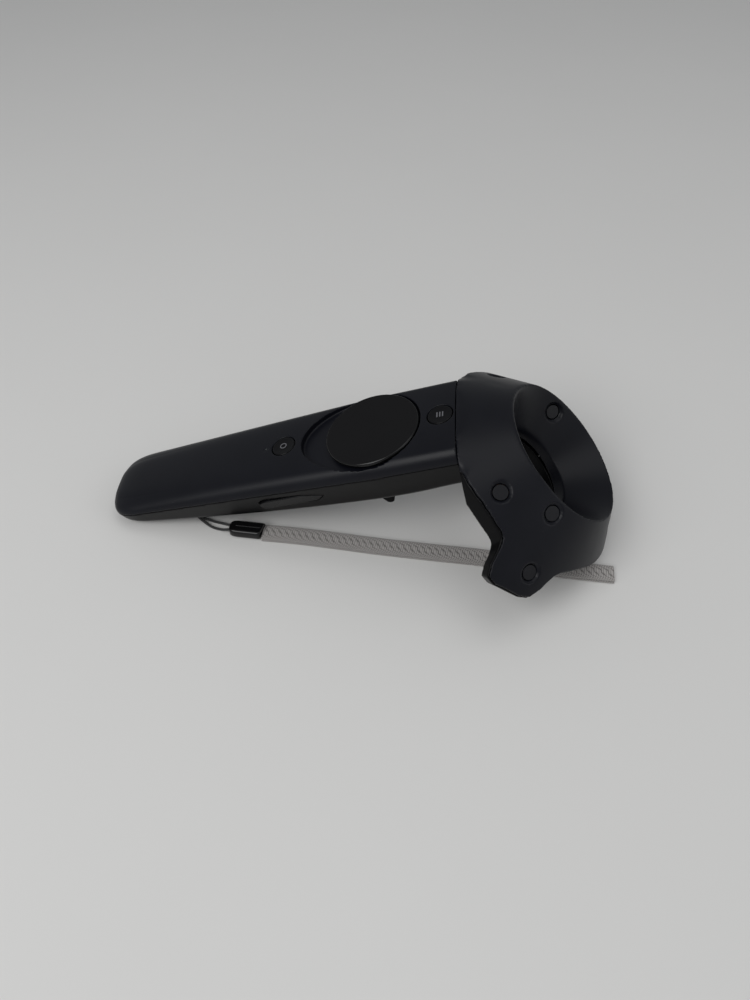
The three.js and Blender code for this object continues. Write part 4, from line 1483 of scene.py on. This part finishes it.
@dataclass
class Lanyard:
    """Wrist lanyard: string through the clasp and round the bar, and the woven strap."""

    string_points: Sequence[Triple] = (
        (-53.6, -15.6, 2.4), (-57.2, -14.3, 2.1), (-60.8, -12.9, 1.1), (-65.6, -11.6, 0.7),
        (-70.9, -9.6, 0.7), (-75.6, -5.3, 0.7), (-78.4, -1.6, 1.3), (-79.4, 0.3, 2.8),
        (-79.9, 0.7, 4.8), (-80.5, 0.7, 6.4), (-82, 0.2, 7.2), (-83.5, -0.6, 6.4),
        (-84, -0.9, 4.8), (-83.8, -1.2, 2.4), (-81.4, -2.4, 0.9), (-77.8, -5, 0.7),
        (-73.4, -9, 0.7), (-69.2, -12.4, 0.7), (-65, -15, 0.7), (-60.8, -16.4, 1.1),
        (-57.2, -17, 2.1), (-53.6, -17, 2.4),
    )
    strap_points: Sequence[Triple] = (
        (-41.4, -16.9, 1.2), (-32, -17.2, 1.2), (-21, -17.8, 1.2), (-6, -19, 1.2),
        (9, -20.3, 1.2), (23, -21.2, 1.2), (37, -22, 1.2), (51, -22.7, 1.2),
        (65, -23.8, 1.2), (79, -25.3, 1.2), (91, -26.5, 1.2), (102, -27.1, 1.2),
        (112, -27.6, 1.2),
    )
    string_diameter: float = 1.2
    strap_width: float = 8.0
    tape_thickness: float = 0.92
    tape_gap: float = 0.12

    def build(self) -> None:
        clasp = self.clasp()
        string, line = self.string()
        route = self.strap()
        line.metres()[0]
        line.metres()
        LOG.info("strap run %.1f mm", route.length)

    def clasp(self) -> bpy.types.Object:
        """Moulded clasp that joins string and strap, with a raised rib along its back.

        Returns:
            The clasp.
        """
        low, high = (np.array(c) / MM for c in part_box("lanyard_clasp"))
        length, width, height = high - low - (0.0, 0.75, 0.0)

        def place(round_share: np.ndarray, along_share: np.ndarray) -> Points:
            """Points of the clasp's skin, for shares round and along it."""
            run = along_share**0.8
            nose = (1 - (1 - np.clip(run * 3.2, 0, 1)) ** 2.4) ** (1 / 2.4)
            mouth = 1 - 0.05 * np.clip((run - 0.93) / 0.07, 0, 1) ** 2
            turn = round_share * 2 * math.pi
            c, si = np.cos(turn), np.sin(turn)
            y = width / 2 * np.sign(c) * np.abs(c) ** 0.42 * (0.5 + 0.5 * nose) * mouth
            z = height / 2 * np.sign(si) * np.abs(si) ** 0.5 * (0.62 + 0.38 * nose) * mouth
            slant = 1.3 * (y / width) * np.clip((run - 0.5) / 0.5, 0, 1)
            return np.stack([length * (run - 0.5) + slant, y, z], 1)

        clasp = Bench.grid("lanyard_clasp_moulding", 56, 44, place)
        Bench.edit(clasp, lambda: bpy.ops.mesh.fill_holes(sides=0))
        Bench.outward(clasp)
        Bench.soften(clasp, 0.3, 4, 50.0)
        middle = (low + high) / 2
        seat = Matrix.Translation(middle) @ Matrix.Rotation(math.radians(-3), 4, "Z")
        ribs = []
        for y, start, end in ((0.0, -0.3, 0.46), (1.9, -0.12, 0.46)):
            rib = Bench.cube(
                "rib", (start * length, y - 0.22, height / 2 - 0.5),
                (end * length, y + 0.22, height / 2 + 0.1 - 0.09 * y),
            )
            ribs.append(Bench.soften(rib, 0.14, 3))
        clasp = Bench.joined([clasp, *ribs])
        Piece(HOUSING, "clasp", ["lanyard_clasp"]).settle(
            clasp, PLACES.table() @ seat, [Look.CLASP.get()], 40.0
        )
        return clasp

    def string(self) -> tuple[bpy.types.Object, Route]:
        """Braided string, from the clasp round the bar and back.

        Returns:
            The string and its line.
        """
        route = Route(self.string_points, 260)
        radius = self.string_diameter / 2
        string = Bench.grid("lanyard_string_braid", 14, 260, route.tube(radius, radius, 1.0))
        Bench.edit(string, lambda: bpy.ops.mesh.fill_holes(sides=0))
        Bench.outward(string)
        Piece(HOUSING, "string", ["lanyard_string"]).settle(
            string, PLACES.table(), [Look.STRING.get()], 180.0
        )
        return string, route

    def strap(self) -> Route:
        """Two layers of woven tape, one on the other, joined into one object.

        Returns:
            The strap's line.
        """
        route = Route(self.strap_points, 300)
        layers = []
        for name, side in (("lower", -1), ("upper", 1)):
            lift = side * (self.tape_thickness + self.tape_gap) / 2
            layer = Route(
                [(x, y + side * 0.12, z + lift) for x, y, z in self.strap_points], 300
            )
            tape = Bench.grid(
                f"lanyard_strap_{name}", 40, 300,
                layer.tube(self.strap_width / 2, self.tape_thickness / 2, 0.45),
            )
            Bench.edit(tape, lambda: bpy.ops.mesh.fill_holes(sides=0))
            layers.append(Bench.outward(tape))
        strap = Bench.joined(layers)
        strap.name = "lanyard_strap_tape"
        Piece(HOUSING, "webbing", ["lanyard_strap"]).settle(
            strap, PLACES.table(), [Look.TAPE.get()], 60.0
        )
        return route


# ------------------------------------------------------------------ carried CAD nodes


@dataclass
class Innards:
    """Pieces inside the shells that are shown as the CAD has them."""

    looks: Sequence[tuple[str, Look]] = (
        ("trackpad_board", Look.BOARD), ("main_board", Look.BOARD),
        ("trigger_pin", Look.STEEL), ("trigger_spring", Look.STEEL),
        ("trigger_sensor", Look.INNER), ("system_switch", Look.INNER),
        ("menu_switch", Look.INNER), ("trackpad_switch", Look.INNER),
        ("squeeze_switch_left", Look.INNER), ("squeeze_switch_right", Look.INNER),
        ("battery", Look.CELL), ("haptic_motor", Look.STEEL), ("usb_receptacle", Look.STEEL),
        ("lanyard_bar", Look.LOWER), ("head_frame", Look.INNER), ("sensor_flex", Look.FILM),
        ("shell_screw_1", Look.SCREW), ("shell_screw_2", Look.SCREW),
        ("shell_screw_3", Look.SCREW), ("shell_screw_4", Look.SCREW),
    )

    def build(self) -> None:
        """Dresses every carried node."""
        for node, look in self.looks:
            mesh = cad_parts[node].data
            mesh.materials.clear()
            mesh.materials.append(look.get())
        LOG.info("%d carried nodes dressed", len(self.looks))


# ------------------------------------------------------------------ studio


@dataclass
class Studio:
    """Floor, soft light and camera."""

    place: Triple = (0.02445, -0.21571, 0.26283)
    turn: Triple = (40.3934, 0.0, 4.5)
    lens: float = 26.64
    floor_tone: Colour = (0.70, 0.695, 0.68)

    def build(self) -> None:
        """Sets the floor, the lights and the camera."""
        self.floor()
        self.light("key_light", (-0.5, -0.62, 0.85), 0.75, 6.4)
        self.light("side_light", (0.95, -0.2, 0.5), 0.6, 1.3)
        self.light("top_light", (0.25, 0.0, 1.4), 0.9, 3.0)
        world = bpy.data.worlds.new("studio_world")
        bpy.context.scene.world = world
        world.use_nodes = True
        background = world.node_tree.nodes["Background"]
        background.inputs["Color"].default_value = (0.95, 0.97, 1.0, 1.0)
        background.inputs["Strength"].default_value = 0.31
        bpy.context.scene.view_settings.view_transform = "Standard"
        self.camera()

    def floor(self) -> None:
        """Plain pale floor."""
        Bench.clear()
        bpy.ops.mesh.primitive_plane_add(size=6)
        floor = bpy.context.active_object
        floor.name = "floor"
        finish = Finish("floor_paper")
        grain = finish.group(Effects.moulded_grain(), Grain_Scale=900.0, Patch_Scale=6.0)
        tone = self.floor_tone
        colour = finish.w.ramp(
            grain.outputs["Shade"], [(0.0, tuple(c * 0.985 for c in tone)), (1.0, tone)]
        )
        finish.w.link(colour, finish.shader.inputs["Base Color"])
        finish.set(Roughness=0.75, Specular_IOR_Level=0.25)
        floor.data.materials.append(finish.material)

    @staticmethod
    def light(name: str, place: Triple, size: float, power: float) -> None:
        """Square area light that looks at the object.

        Args:
            name: The light's name.
            place: Where it stands, in metres.
            size: Its side, in metres.
            power: Its power, in watts.
        """
        data = bpy.data.lights.new(name, "AREA")
        data.size = size
        data.energy = power
        light = bpy.data.objects.new(name, data)
        bpy.context.scene.collection.objects.link(light)
        light.location = place
        light.rotation_euler = (-Vector(place)).to_track_quat("-Z", "Y").to_euler()

    def camera(self) -> None:
        """Camera that looks down along the grip."""
        data = bpy.data.cameras.new("camera")
        data.lens = self.lens
        data.sensor_width = 36.0
        data.clip_start = 0.01
        camera = bpy.data.objects.new("camera", data)
        bpy.context.scene.collection.objects.link(camera)
        camera.location = self.place
        camera.rotation_euler = [math.radians(a) for a in self.turn]
        bpy.context.scene.camera = camera


# ------------------------------------------------------------------ whole object


@dataclass
class Controller:
    """The controller with its lanyard."""

    parts: Sequence[object] = field(
        default_factory=lambda: [Shells(), Controls(), Windows(), Lanyard(), Innards()]
    )

    def build(self) -> None:
        """Builds every sub-assembly."""
        for part in self.parts:
            part.build()


def main() -> None:
    """Builds the scene."""
    logging.basicConfig(level=logging.INFO, format="%(name)s: %(message)s")
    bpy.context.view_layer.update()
    Studio().build()
    Controller().build()
    Bench.clear()


if __name__ == "__main__":
    main()
